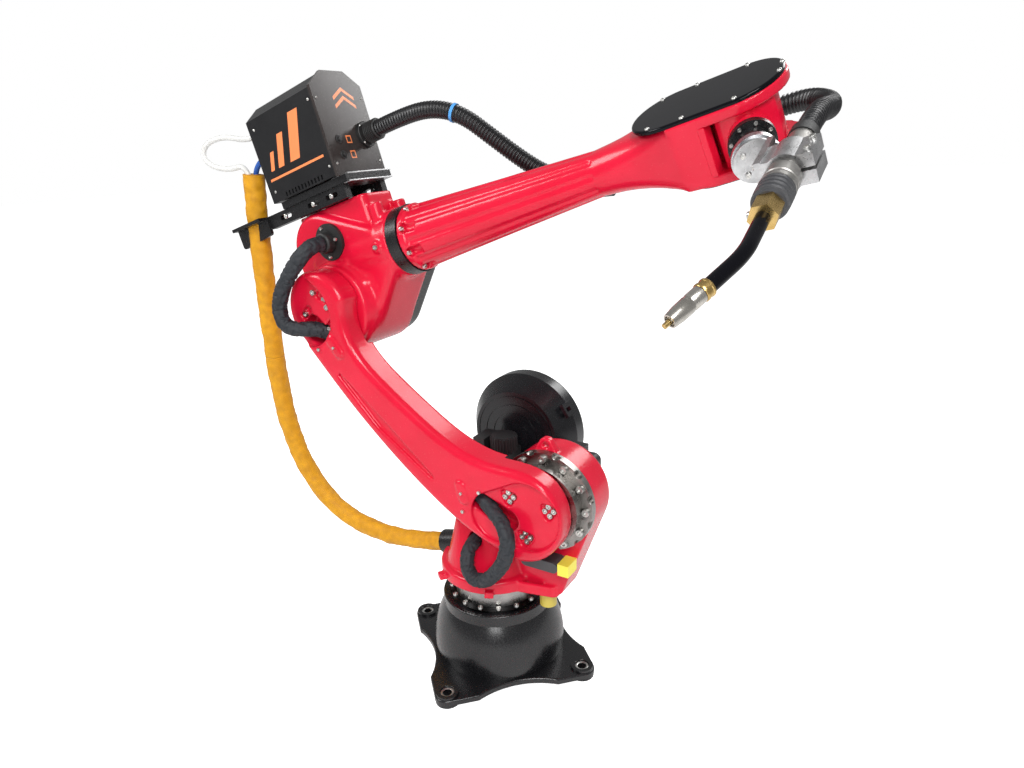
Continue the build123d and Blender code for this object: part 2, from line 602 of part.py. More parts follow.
# Forearm: fluted casting from a round flange to a waist, flaring into the forked wrist end
def forearm_casting():
    waist_x = FOREARM - COVER_RUN - 130.0
    root = fore_start + FORE_FLANGE_T
    spots = (root, root + 0.36 * (waist_x - root), waist_x)
    radii = (FORE_ROOT_R - 3.0, 0.55 * FORE_ROOT_R + 0.45 * FORE_WAIST_R, FORE_WAIST_R)
    body = loft([section(x) * Circle(r) for x, r in zip(spots, radii)])
    body += rod((fore_start, 0, 0), (1, 0, 0), FORE_ROOT_R, FORE_FLANGE_T)
    for y, z in around(FLUTES, 1.0, 18.0):
        a = Vector(root + 4.0, y * (FORE_ROOT_R + 2.0), z * (FORE_ROOT_R + 2.0))
        b = Vector(waist_x, y * (FORE_WAIST_R + 7.0), z * (FORE_WAIST_R + 7.0))
        body -= Plane(origin=a, z_dir=b - a) * Cylinder(FLUTE_CUT_R, (b - a).length, align=LOW)
    for y, z in around(FLANGE_SCREWS, FORE_ROOT_R - 4.0):
        body -= rod((fore_start + FORE_FLANGE_T - 6.0, y, z), (1, 0, 0), FLANGE_SCALLOP_R, 30.0)
    end = FOREARM - COVER_RUN
    spots = (waist_x, end - 44.0, end + 6.0)
    flare = [RectangleRounded(2 * FORE_WAIST_R, 2 * FORE_WAIST_R, FORE_WAIST_R - 0.5),
             RectangleRounded(1.46 * FORK_R, 1.72 * FORK_HALF, 24.0),
             RectangleRounded(2 * FORK_R, 2 * FORK_HALF, 7.0)]
    body += loft([section(x) * shape for x, shape in zip(spots, flare)])
    plan = Pos(FOREARM - COVER_RUN / 2, 0) * SlotCenterToCenter(COVER_RUN, 2 * FORK_R)
    head = Pos(0, 0, -FORK_HALF) * extrude(plan, amount=2 * FORK_HALF)
    head -= block(0, FOREARM - COVER_RUN, -2 * FORK_R, 2 * FORK_R, -FORK_HALF, FORK_HALF)
    body += head
    wide = 2 * FORK_R
    body -= block(FOREARM - FORK_THROAT, FOREARM + wide, -wide, wide, -fork_inner, fork_inner)
    return body


keep("forearm_casting", forearm_casting(), FORE_FRAME)


def wrist_cover(run, inset):
    """Slotted-end cover plate that lies on a fork plate."""
    plan = Pos(FOREARM - run / 2, 0) * SlotCenterToCenter(run, 2 * (FORK_R - inset))
    plate = extrude(plan, amount=COVER_T)
    return fillet(plate.edges().group_by(Axis.Z)[-1], 3.0)


keep("wrist_cover_upper", Pos(0, 0, FORK_HALF) * wrist_cover(COVER_RUN, COVER_INSET), FORE_FRAME)
under = mirror(wrist_cover(LOWER_COVER_RUN, LOWER_COVER_INSET), about=Plane.XY)
keep("wrist_cover_lower", Pos(0, 0, -FORK_HALF) * under, FORE_FRAME)

# Wrist: round housing between the fork plates and the black ring of the last axis
half = fork_inner - TURN_GAP
housing = Pos(0, 0, -half) * Cylinder(WRIST_R, 2 * half, align=LOW)
housing += rod((0, 0, 0), (1, 0, 0), J6_NECK_R, J6_RING_START)
keep("wrist_housing", housing, WRIST_FRAME)
keep("wrist_ring", rod((J6_RING_START, 0, 0), (1, 0, 0), J6_RING_R, J6_RING_T), WRIST_FRAME)

# Tool: spacer and flange of the last axis, bent bracket, and the torch in its clamp
spacer_start = ring_end + TURN_GAP
flange_back = FLANGE_FACE - FLANGE_T
keep("tool_spacer", rod((spacer_start, 0, 0), (1, 0, 0), SPACER_R, flange_back - spacer_start), WRIST_FRAME)
flange = rod((flange_back, 0, 0), (1, 0, 0), FLANGE_R, FLANGE_T)
keep("tool_flange", flange, WRIST_FRAME)
tilt = radians(TORCH_TILT)
torch_root = Vector(FLANGE_FACE + 2.4, TORCH_SIDE, 0)
torch_in_wrist = Plane(origin=torch_root, x_dir=(cos(tilt), -sin(tilt), 0), z_dir=(0, 0, 1)).location
TORCH_FRAME = WRIST_FRAME * torch_in_wrist
foot = hull((0, 0, FLANGE_R - 2.0), (14.0, 0, 17.0))
foot = extrude(section(FLANGE_FACE) * foot, amount=BRACKET_T)
leg = torch_in_wrist * block(LEG_START, CLAMP_START + CLAMP_L, -CLAMP_R - BRACKET_T, -CLAMP_R, -20, 20)
keep("torch_bracket", foot + leg, WRIST_FRAME)
clamp = rod((CLAMP_START, 0, 0), (1, 0, 0), CLAMP_R, CLAMP_L)
clamp += block(CLAMP_START, CLAMP_START + CLAMP_L, -CLAMP_R, CLAMP_LUG, -18, 18)
clamp -= block(CLAMP_START, CLAMP_START + CLAMP_L, 0, CLAMP_LUG, -CLAMP_SLIT / 2, CLAMP_SLIT / 2)
clamp -= rod((CLAMP_START, 0, 0), (1, 0, 0), TORCH_R, CLAMP_L)
keep("torch_clamp", clamp, TORCH_FRAME)
handle = rod((0, 0, 0), (1, 0, 0), TORCH_R, TORCH_L)
handle += rod((CLAMP_START + CLAMP_L + 6, 0, 0), (1, 0, 0), TORCH_R + 5, TORCH_L - CLAMP_START - CLAMP_L - 6)
keep("torch_body", handle, TORCH_FRAME)
nut = section(TORCH_L) * extrude(RegularPolygon(NUT_R, 6), amount=NUT_L)
keep("torch_nut", nut, TORCH_FRAME)
neck_start = TORCH_L + NUT_L
drop = radians(NECK_BEND)
corner = neck_start + NECK_LEAD
neck_end = (corner + NECK_RUN * cos(drop), -NECK_RUN * sin(drop), 0)
neck_line = FilletPolyline((neck_start, 0, 0), (corner, 0, 0), neck_end, radius=NECK_BEND_R)
neck = sweep(section(neck_start) * Circle(NECK_TUBE_R), path=neck_line)
keep("torch_neck", neck, TORCH_FRAME)
tip_way = Vector(cos(drop), -sin(drop), 0)
spot = Vector(*neck_end)
tips = {"neck_ring": (RING_R, RING_L), "torch_nozzle": (NOZZLE_R, NOZZLE_L), "contact_tip": (TIP_R, TIP_L)}
for name, (radius, length) in tips.items():
    keep(name, rod(spot, tip_way, radius, length), TORCH_FRAME)
    spot = spot + tip_way * length
keep("hose_boot", rod((0, 0, 0), (-1, 0, 0), HOSE_R + 3.0, 16.0), TORCH_FRAME)

# Cords: conduit, sleeves over the second and third axis
mouth = cord(CONDUIT_HIGH, CONDUIT_R)
mouth_way = Vector(*CONDUIT_HIGH[1]) - Vector(*CONDUIT_HIGH[0])
keep("conduit_upper", mouth - rod(CONDUIT_HIGH[0], mouth_way, CONDUIT_R - 4, 40))
keep("conduit_lower", cord(CONDUIT_LOW, CONDUIT_R))
keep("sleeve_lower", cord(SLEEVE_LOW, SLEEVE_R))
keep("sleeve_upper", cord(SLEEVE_HIGH, SLEEVE_R), ELBOW_FRAME)
keep("hose_feeder", cord(HOSE_FEEDER, HOSE_R), ELBOW_FRAME)
keep("hose_forearm", cord(HOSE_FOREARM, HOSE_R), FORE_FRAME)
keep("hose_wrist", cord(HOSE_WRIST, HOSE_R), FORE_FRAME)
keep("hose_torch", cord(HOSE_TORCH, HOSE_R), FORE_FRAME)
keep("gas_tube", cord(GAS_TUBE, TUBE_R), ELBOW_FRAME)
keep("wire_tube", cord(WIRE_TUBE, TUBE_R), ELBOW_FRAME)

# Clip that holds the hose to the far side of the forearm
clip_way = Vector(*HOSE_FOREARM[2]) - Vector(*HOSE_FOREARM[1])
clip_at = Vector(*HOSE_FOREARM[1]) + clip_way * 0.4
clip = rod(clip_at, clip_way, HOSE_R + 4.0, 18.0)
clip += block(clip_at.X + 1, clip_at.X + 17, 12, clip_at.Y - 6, clip_at.Z - 2, clip_at.Z + 10)
clip = clip - rod(clip_at - clip_way * 0.1, clip_way, HOSE_R + SEAT_GAP, 40.0)
keep("hose_clip", FORE_FRAME * clip - PIECES["forearm_casting"])

os.makedirs("parts", exist_ok=True)
for name, shape in PIECES.items():
    export_step(shape, f"parts/{name}.step")
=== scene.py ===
import json
from math import cos, pi, radians, sin

import bpy
from mathutils import Matrix, Vector, noise


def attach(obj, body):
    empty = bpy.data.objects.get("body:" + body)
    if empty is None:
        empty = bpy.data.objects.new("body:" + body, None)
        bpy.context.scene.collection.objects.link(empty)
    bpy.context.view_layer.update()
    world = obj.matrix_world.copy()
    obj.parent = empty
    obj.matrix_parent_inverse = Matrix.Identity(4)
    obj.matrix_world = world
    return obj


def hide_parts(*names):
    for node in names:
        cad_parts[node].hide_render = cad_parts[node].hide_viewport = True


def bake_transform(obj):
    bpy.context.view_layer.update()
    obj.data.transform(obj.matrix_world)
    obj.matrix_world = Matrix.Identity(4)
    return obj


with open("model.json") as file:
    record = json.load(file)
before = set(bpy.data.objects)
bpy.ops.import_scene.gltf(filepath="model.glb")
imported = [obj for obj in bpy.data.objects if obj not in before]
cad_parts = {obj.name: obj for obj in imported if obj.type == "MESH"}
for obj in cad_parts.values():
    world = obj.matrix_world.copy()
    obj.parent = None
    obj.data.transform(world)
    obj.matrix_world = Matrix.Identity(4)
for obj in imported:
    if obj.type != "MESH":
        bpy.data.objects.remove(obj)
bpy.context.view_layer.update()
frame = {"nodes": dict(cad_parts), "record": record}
scene = bpy.context.scene
scene.view_settings.view_transform = "Standard"

# Frames of the arm's links at rest, as the CAD has them: millimetres in, metres out
MM = 0.001
SHOULDER_OUT, SHOULDER_HIGH = 150, 419
LOWER_LENGTH, ELBOW_RISE, FOREARM_LENGTH = 536, 77, 766
TORCH_ROOT = Vector((129.4, 51.5, 0))
LEAN, PITCH, TURN, BEND, TILT = (radians(a) for a in (-53.3, 16.0, 114.6, -77.0, 20.5))
along = Vector((sin(LEAN), 0, cos(LEAN)))
across = Vector((cos(LEAN), 0, -sin(LEAN)))
fore = Vector((cos(PITCH), 0, sin(PITCH)))
rise = Vector((-sin(PITCH), 0, cos(PITCH)))
wrist_axis = Vector((0, 1, 0)) * cos(TURN) + rise * sin(TURN)
wrist_side = wrist_axis.cross(fore)
tool_axis = fore * cos(BEND) + wrist_side * sin(BEND)


def link_frame(origin, x_dir, z_dir):
    turn = Matrix((x_dir, z_dir.cross(x_dir), z_dir)).transposed().to_4x4()
    return Matrix.Translation(origin) @ turn @ Matrix.Scale(MM, 4)


shoulder = Vector((SHOULDER_OUT * MM, 0, SHOULDER_HIGH * MM))
elbow = shoulder + along * (LOWER_LENGTH * MM)
roll_point = elbow + rise * (ELBOW_RISE * MM)
bend_point = roll_point + fore * (FOREARM_LENGTH * MM)
FLOOR = Matrix.Scale(MM, 4)
LOWER = link_frame(shoulder, across, along)
ELBOW = link_frame(elbow, fore, rise)
FOREARM = link_frame(roll_point, fore, wrist_axis)
WRIST = link_frame(bend_point, tool_axis, wrist_axis)
torch_way = (WRIST.to_3x3() @ Vector((cos(TILT), -sin(TILT), 0))).normalized()
TORCH = link_frame(WRIST @ TORCH_ROOT, torch_way, wrist_axis)


# Shader groups: grain of a coat, turned lines of a machined face, weave of a cord's cover


def node(tree, kind, **settings):
    made = tree.nodes.new(kind)
    for name, value in settings.items():
        if name in made.bl_rna.properties:
            setattr(made, name, value)
        else:
            made.inputs[name.replace("_", " ")].default_value = value
    return made


def maths(tree, operation, first, second=None):
    made = node(tree, "ShaderNodeMath", operation=operation)
    for socket, value in zip(made.inputs, (first, second)):
        if isinstance(value, (int, float)):
            socket.default_value = value
        elif value is not None:
            tree.links.new(value, socket)
    return made.outputs[0]


def dot(tree, vector, way):
    made = node(tree, "ShaderNodeVectorMath", operation="DOT_PRODUCT")
    tree.links.new(vector, made.inputs[0])
    made.inputs[1].default_value = way
    return made.outputs["Value"]


def effect(name, inputs, outputs):
    tree = bpy.data.node_groups.new(name, "ShaderNodeTree")
    for label, kind, value in inputs:
        socket = tree.interface.new_socket(label, in_out="INPUT", socket_type=kind)
        if value is not None:
            socket.default_value = value
    for label, kind in outputs:
        tree.interface.new_socket(label, in_out="OUTPUT", socket_type=kind)
    return tree, tree.nodes.new("NodeGroupInput").outputs, tree.nodes.new("NodeGroupOutput").inputs


FLOAT, VECTOR = "NodeSocketFloat", "NodeSocketVector"
SPECK_SIZE = 0.13


def coat_grain():
    tree, given, out = effect(
        "coat_grain",
        [("Vector", VECTOR, None), ("Scale", FLOAT, 300.0), ("Depth", FLOAT, 0.1), ("Patch", FLOAT, 12.0)],
        [("Tone", FLOAT), ("Grain", FLOAT), ("Specks", FLOAT), ("Normal", VECTOR)],
    )
    fine = node(tree, "ShaderNodeTexNoise", Detail=3.0, Roughness=0.55)
    broad = node(tree, "ShaderNodeTexNoise", Detail=4.0, Roughness=0.6)
    dust = node(tree, "ShaderNodeTexVoronoi", feature="F1")
    for texture, label in ((fine, "Scale"), (broad, "Patch")):
        tree.links.new(given["Vector"], texture.inputs["Vector"])
        tree.links.new(given[label], texture.inputs["Scale"])
    tree.links.new(given["Vector"], dust.inputs["Vector"])
    tree.links.new(maths(tree, "MULTIPLY", given["Scale"], 0.5), dust.inputs["Scale"])
    bump = node(tree, "ShaderNodeBump", Distance=0.0006)
    tree.links.new(given["Depth"], bump.inputs["Strength"])
    tree.links.new(fine.outputs["Fac"], bump.inputs["Height"])
    tree.links.new(broad.outputs["Fac"], out["Tone"])
    tree.links.new(fine.outputs["Fac"], out["Grain"])
    tree.links.new(maths(tree, "LESS_THAN", dust.outputs["Distance"], SPECK_SIZE), out["Specks"])
    tree.links.new(bump.outputs["Normal"], out["Normal"])
    return tree


def turned_lines():
    tree, given, out = effect(
        "turned_lines",
        [("Vector", VECTOR, None), ("Centre", VECTOR, None), ("Axis", VECTOR, None), ("Pitch", FLOAT, 0.0006)],
        [("Lines", FLOAT), ("Stain", FLOAT), ("Normal", VECTOR)],
    )
    local = node(tree, "ShaderNodeVectorMath", operation="SUBTRACT")
    tree.links.new(given["Vector"], local.inputs[0])
    tree.links.new(given["Centre"], local.inputs[1])
    high = node(tree, "ShaderNodeVectorMath", operation="DOT_PRODUCT")
    tree.links.new(local.outputs[0], high.inputs[0])
    tree.links.new(given["Axis"], high.inputs[1])
    length = node(tree, "ShaderNodeVectorMath", operation="LENGTH")
    tree.links.new(local.outputs[0], length.inputs[0])
    height = high.outputs["Value"]
    spread = maths(tree, "MULTIPLY", length.outputs["Value"], length.outputs["Value"])
    radius = maths(tree, "SQRT", maths(tree, "SUBTRACT", spread, maths(tree, "MULTIPLY", height, height)))
    steps = node(tree, "ShaderNodeCombineXYZ")
    tree.links.new(maths(tree, "DIVIDE", radius, given["Pitch"]), steps.inputs["X"])
    tree.links.new(maths(tree, "DIVIDE", height, given["Pitch"]), steps.inputs["Y"])
    cut = node(tree, "ShaderNodeTexNoise", Scale=1.0, Detail=2.0)
    tree.links.new(steps.outputs[0], cut.inputs["Vector"])
    stain = node(tree, "ShaderNodeTexNoise", Scale=45.0, Detail=4.0)
    tree.links.new(given["Vector"], stain.inputs["Vector"])
    bump = node(tree, "ShaderNodeBump", Strength=0.12, Distance=0.0003)
    tree.links.new(cut.outputs["Fac"], bump.inputs["Height"])
    tree.links.new(cut.outputs["Fac"], out["Lines"])
    tree.links.new(stain.outputs["Fac"], out["Stain"])
    tree.links.new(bump.outputs["Normal"], out["Normal"])
    return tree


def cord_weave():
    tree, given, out = effect(
        "cord_weave",
        [("Vector", VECTOR, None), ("Pitch", FLOAT, 0.004), ("Threads", FLOAT, 24.0), ("Depth", FLOAT, 0.3)],
        [("Thread", FLOAT), ("Patch", FLOAT), ("Normal", VECTOR)],
    )
    parts = node(tree, "ShaderNodeSeparateXYZ")
    tree.links.new(given["Vector"], parts.inputs[0])
    angle = maths(tree, "ARCTAN2", parts.outputs["Y"], parts.outputs["X"])
    turn = maths(tree, "MULTIPLY", angle, given["Threads"])
    run = maths(tree, "MULTIPLY", maths(tree, "DIVIDE", parts.outputs["Z"], given["Pitch"]), 2 * pi)
    left = maths(tree, "SINE", maths(tree, "ADD", run, turn))
    right = maths(tree, "SINE", maths(tree, "SUBTRACT", run, turn))
    thread = maths(tree, "MULTIPLY_ADD", maths(tree, "MULTIPLY", left, right), 0.5)
    thread.node.inputs[2].default_value = 0.5
    patch = node(tree, "ShaderNodeTexNoise", Scale=60.0, Detail=4.0)
    tree.links.new(given["Vector"], patch.inputs["Vector"])
    bump = node(tree, "ShaderNodeBump", Distance=0.0006)
    tree.links.new(given["Depth"], bump.inputs["Strength"])
    tree.links.new(thread, bump.inputs["Height"])
    tree.links.new(thread, out["Thread"])
    tree.links.new(patch.outputs["Fac"], out["Patch"])
    tree.links.new(bump.outputs["Normal"], out["Normal"])
    return tree


GRAIN, LINES, WEAVE = coat_grain(), turned_lines(), cord_weave()


# Materials


def start_material(name, rough=0.4, metal=0.0, coat=0.0, **fixed):
    made = bpy.data.materials.new(name)
    made.use_nodes = True
    shader = made.node_tree.nodes["Principled BSDF"]
    shader.inputs["Roughness"].default_value = rough
    shader.inputs["Metallic"].default_value = metal
    shader.inputs["Coat Weight"].default_value = coat
    for label, value in fixed.items():
        shader.inputs[label.replace("_", " ")].default_value = value
    return made, made.node_tree, shader.inputs


def group_node(tree, group, vector, **values):
    made = node(tree, "ShaderNodeGroup", node_tree=group)
    tree.links.new(vector, made.inputs["Vector"])
    for label, value in values.items():
        made.inputs[label].default_value = value
    return made.outputs


def blend_colours(tree, factor, first, second):
    made = node(tree, "ShaderNodeMix", data_type="RGBA")
    tree.links.new(factor, made.inputs[0])
    for socket, colour in zip(made.inputs[6:8], (first, second)):
        if isinstance(colour, tuple):
            socket.default_value = (*colour, 1)
        else:
            tree.links.new(colour, socket)
    return made.outputs[2]


def spread_value(tree, value, low, high, start=0.3, end=0.7):
    made = node(tree, "ShaderNodeMapRange")
    tree.links.new(value, made.inputs["Value"])
    for label, number in zip(("From Min", "From Max", "To Min", "To Max"), (start, end, low, high)):
        made.inputs[label].default_value = number
    return made.outputs[0]


def here(tree):
    return node(tree, "ShaderNodeTexCoord").outputs["Object"]


def coated(
    name, dark, light, rough, scale, depth, patch=12.0, specks=None, metal=0.0, coat=0.0, art=None, **fixed
):
    """A painted, moulded or cast surface: tone in patches, roughness and bump by grain, specks if asked for."""
    made, tree, sockets = start_material(name, sum(rough) / 2, metal, coat, **fixed)
    place = here(tree)
    grain = group_node(tree, GRAIN, place, Scale=scale, Depth=depth, Patch=patch)
    colour = blend_colours(tree, spread_value(tree, grain["Tone"], 0.0, 1.0), dark, light)
    if specks:
        colour = blend_colours(tree, maths(tree, "MULTIPLY", grain["Specks"], 0.5), colour, specks)
    if art:
        colour = blend_colours(tree, art[0](tree, place), colour, art[1])
    tree.links.new(colour, sockets["Base Color"])
    tree.links.new(spread_value(tree, grain["Grain"], *rough), sockets["Roughness"])
    tree.links.new(grain["Normal"], sockets["Normal"])
    return made


def turned(name, dark, light, rough, centre, axis, pitch=0.0006, art=None):
    """Metal off a lathe: rings about its axis, with stains that dull it here and there."""
    made, tree, sockets = start_material(name, sum(rough) / 2, 1.0)
    lines = group_node(tree, LINES, here(tree), Centre=centre, Axis=axis, Pitch=pitch)
    tone = maths(tree, "MULTIPLY", lines["Lines"], spread_value(tree, lines["Stain"], 0.75, 1.2))
    colour = blend_colours(tree, spread_value(tree, tone, 0.0, 1.0), dark, light)
    if art:
        colour = blend_colours(tree, art(tree), colour, BLACKENED)
    tree.links.new(colour, sockets["Base Color"])
    tree.links.new(spread_value(tree, lines["Stain"], *rough), sockets["Roughness"])
    tree.links.new(lines["Normal"], sockets["Normal"])
    return made


def covered(name, dark, light, rough, pitch, threads, depth, **fixed):
    """A cord's cover, read from the straight lay that each tube keeps as an attribute."""
    made, tree, sockets = start_material(name, sum(rough) / 2, **fixed)
    lay = node(tree, "ShaderNodeAttribute", attribute_name="straight")
    weave = group_node(tree, WEAVE, lay.outputs["Vector"], Pitch=pitch, Threads=threads, Depth=depth)
    tone = maths(tree, "MULTIPLY", weave["Thread"], spread_value(tree, weave["Patch"], 0.6, 1.2))
    tree.links.new(blend_colours(tree, tone, dark, light), sockets["Base Color"])
    tree.links.new(spread_value(tree, weave["Patch"], *rough), sockets["Roughness"])
    tree.links.new(weave["Normal"], sockets["Normal"])
    return made


def both(tree, first, second):
    return maths(tree, "MULTIPLY", first, second)


def either(tree, first, second):
    return maths(tree, "MAXIMUM", first, second)


def inside(tree, value, low, high):
    return both(tree, maths(tree, "GREATER_THAN", value, low), maths(tree, "LESS_THAN", value, high))


def off(tree, value, middle):
    """How far a value lies from a middle, to either side."""
    return maths(tree, "ABSOLUTE", maths(tree, "SUBTRACT", value, middle))


def elbow_place(tree, place):
    local = node(tree, "ShaderNodeVectorMath", operation="SUBTRACT")
    tree.links.new(place, local.inputs[0])
    local.inputs[1].default_value = elbow
    return [dot(tree, local.outputs[0], way) for way in (fore, (0, 1, 0), rise)]


# The feeder's artwork, in metres of the elbow's frame: bars as start, width and top, all from one foot
BARS = ((-0.168, 0.010, 0.296), (-0.146, 0.016, 0.318), (-0.112, 0.026, 0.340))
BAR_FOOT, BAR_SLANT = 0.266, 0.42
LINE_LOW, LINE_HIGH, LINE_BACK, LINE_FRONT = 0.250, 0.254, -0.066, 0.082
CASE_MIDDLE, SIDE_FROM = -0.0065, 0.0575
CHEVRONS, CHEVRON_THICK, CHEVRON_HALF, CHEVRON_SLOPE, CHEVRON_MIDDLE = (0.352, 0.338), 0.006, 0.026, 0.6, 0.004
MARKS_HIGH, MARK_MIDDLE, MARK_IN, MARK_OUT, PANEL_FROM = (0.271, 0.2455), -0.015, 0.0045, 0.0065, 0.1025


def case_bars(tree, place):
    """Plain slanted bars over a line, on the two upright sides of the feeder's case."""
    x, y, z = elbow_place(tree, place)
    slant = maths(tree, "SUBTRACT", x, maths(tree, "MULTIPLY", z, BAR_SLANT))
    total = both(tree, inside(tree, z, LINE_LOW, LINE_HIGH), inside(tree, x, LINE_BACK, LINE_FRONT))
    for start, wide, top in BARS:
        bar = both(tree, inside(tree, slant, start, start + wide), inside(tree, z, BAR_FOOT, top))
        total = either(tree, total, bar)
    return both(tree, total, maths(tree, "GREATER_THAN", off(tree, y, CASE_MIDDLE), SIDE_FROM))


def panel_marks(tree, place):
    """Two chevrons high on the feeder's front, and a small frame beside each plug."""
    x, y, z = elbow_place(tree, place)
    aside = off(tree, y, CHEVRON_MIDDLE)
    height = maths(tree, "ADD", z, maths(tree, "MULTIPLY", aside, CHEVRON_SLOPE))
    total = None
    for low in CHEVRONS:
        band = inside(tree, height, low, low + CHEVRON_THICK)
        chevron = both(tree, band, maths(tree, "LESS_THAN", aside, CHEVRON_HALF))
        total = chevron if total is None else either(tree, total, chevron)
    for high in MARKS_HIGH:
        far = either(tree, off(tree, y, MARK_MIDDLE), off(tree, z, high))
        total = either(tree, total, inside(tree, far, MARK_IN, MARK_OUT))
    return both(tree, total, maths(tree, "GREATER_THAN", x, PANEL_FROM))


RING_FOOT_TOP = 0.1613
FLANGE_FACE, FLANGE_HOLES, FLANGE_CIRCLE, FLANGE_HOLE, FLANGE_TURN = 127, 6, 22.5, 0.0026, 0.2


def ring_foot(tree):
    """The blackened step under the first ring."""
    return maths(tree, "LESS_THAN", dot(tree, here(tree), (0, 0, 1)), RING_FOOT_TOP)


def bolt_hole_shade(tree, place):
    """Painted shade: dark spots on a circle in the bright tool flange, where its bolt holes are."""
    total = None
    for k in range(FLANGE_HOLES):
        angle = 2 * pi / FLANGE_HOLES * k + FLANGE_TURN
        spot = Vector((FLANGE_FACE, FLANGE_CIRCLE * cos(angle), FLANGE_CIRCLE * sin(angle)))
        gap = node(tree, "ShaderNodeVectorMath", operation="DISTANCE")
        tree.links.new(place, gap.inputs[0])
        gap.inputs[1].default_value = WRIST @ spot
        hole = maths(tree, "LESS_THAN", gap.outputs["Value"], FLANGE_HOLE)
        total = hole if total is None else either(tree, total, hole)
    return total


# SHADE colours the painted shade in the tool flange's bolt holes
ORANGE, SHADE, BLACKENED = (0.83, 0.24, 0.085), (0.02, 0.02, 0.02), (0.025, 0.025, 0.026)
COATS = {
    "red_paint": dict(
        dark=(0.57, 0.004, 0.025), light=(0.66, 0.007, 0.036), rough=(0.17, 0.28), scale=420, depth=0.07,
        patch=9, specks=(0.48, 0.003, 0.02), coat=0.15, Coat_Roughness=0.08, Specular_IOR_Level=0.3,
    ),
    "black_casting": dict(
        dark=(0.005, 0.005, 0.006), light=(0.012, 0.012, 0.013), rough=(0.20, 0.40), scale=330, depth=0.30,
        patch=16, specks=(0.035, 0.035, 0.035), Specular_IOR_Level=0.4,
    ),
    "base_black": dict(
        dark=(0.003, 0.003, 0.004), light=(0.007, 0.007, 0.008), rough=(0.20, 0.32), scale=260, depth=0.14,
        patch=16, specks=(0.02, 0.02, 0.02), Specular_IOR_Level=0.55,
    ),
    "motor_black": dict(
        dark=(0.007, 0.007, 0.008), light=(0.015, 0.015, 0.016), rough=(0.38, 0.56), scale=380, depth=0.3,
    ),
    "drum_plastic": dict(
        dark=(0.004, 0.004, 0.005), light=(0.009, 0.009, 0.011), rough=(0.14, 0.30), scale=600, depth=0.08,
        patch=20, specks=(0.05, 0.05, 0.05), Specular_IOR_Level=0.45,
    ),
    "yellow_buffer": dict(
        dark=(0.78, 0.66, 0.05), light=(0.90, 0.80, 0.10), rough=(0.35, 0.55), scale=300, depth=0.14,
    ),
    "pin_rubber": dict(
        dark=(0.42, 0.33, 0.045), light=(0.58, 0.47, 0.08), rough=(0.32, 0.5), scale=260, depth=0.16,
    ),
    "feeder_black": dict(
        dark=(0.008, 0.008, 0.009), light=(0.014, 0.014, 0.015), rough=(0.28, 0.42), scale=700, depth=0.18,
        art=(case_bars, ORANGE), Specular_IOR_Level=0.28,
    ),
    "feeder_panel_grey": dict(
        dark=(0.026, 0.021, 0.020), light=(0.042, 0.035, 0.033), rough=(0.12, 0.24), scale=500, depth=0.05,
        patch=14, specks=(0.12, 0.11, 0.10), art=(panel_marks, ORANGE), Specular_IOR_Level=0.4,
    ),
    "bare_aluminium": dict(
        dark=(0.38, 0.38, 0.385), light=(0.60, 0.60, 0.605), rough=(0.24, 0.44), scale=500, depth=0.12,
        patch=60, metal=1.0,
    ),
    "cover_black": dict(
        dark=(0.002, 0.002, 0.003), light=(0.004, 0.004, 0.006), rough=(0.08, 0.16), scale=520, depth=0.05,
        patch=10, specks=(0.02, 0.02, 0.024), Specular_IOR_Level=0.14,
    ),
    "rubber_black": dict(
        dark=(0.008, 0.008, 0.008), light=(0.016, 0.016, 0.016), rough=(0.42, 0.62), scale=600, depth=0.22,
    ),
    "torch_metal": dict(
        dark=(0.30, 0.29, 0.275), light=(0.50, 0.485, 0.46), rough=(0.28, 0.48), scale=420, depth=0.2,
        patch=50, metal=1.0,
    ),
    "brass": dict(
        dark=(0.50, 0.33, 0.11), light=(0.66, 0.47, 0.19), rough=(0.22, 0.36), scale=1500, depth=0.06,
        patch=60, metal=1.0,
    ),
    "nozzle_steel": dict(
        dark=(0.46, 0.44, 0.40), light=(0.64, 0.61, 0.56), rough=(0.20, 0.34), scale=1500, depth=0.06,
        patch=70, metal=1.0,
    ),
    "zinc": dict(
        dark=(0.42, 0.42, 0.41), light=(0.70, 0.69, 0.66), rough=(0.24, 0.42), scale=900, depth=0.12,
        patch=120, metal=1.0,
    ),
    # the tool flange carries painted shade: dark spots where its bolt holes are
    "flange_zinc": dict(
        dark=(0.36, 0.37, 0.39), light=(0.58, 0.59, 0.61), rough=(0.22, 0.40), scale=500, depth=0.10,
        patch=60, metal=1.0, art=(bolt_hole_shade, SHADE),
    ),
    "stop_grey": dict(
        dark=(0.035, 0.036, 0.040), light=(0.060, 0.061, 0.066), rough=(0.30, 0.5), scale=330, depth=0.25,
    ),
    "tie_blue": dict(
        dark=(0.05, 0.26, 0.62), light=(0.10, 0.36, 0.75), rough=(0.3, 0.45), scale=500, depth=0.1,
    ),
}
TURNED = {
    "j1_steel": dict(
        dark=(0.20, 0.195, 0.19), light=(0.50, 0.49, 0.475), rough=(0.20, 0.38),
        centre=(0, 0, 0), axis=(0, 0, 1), art=ring_foot,
    ),
    "j2_steel": dict(
        dark=(0.13, 0.125, 0.12), light=(0.42, 0.40, 0.38), rough=(0.20, 0.40),
        centre=shoulder, axis=(0, 1, 0),
    ),
}
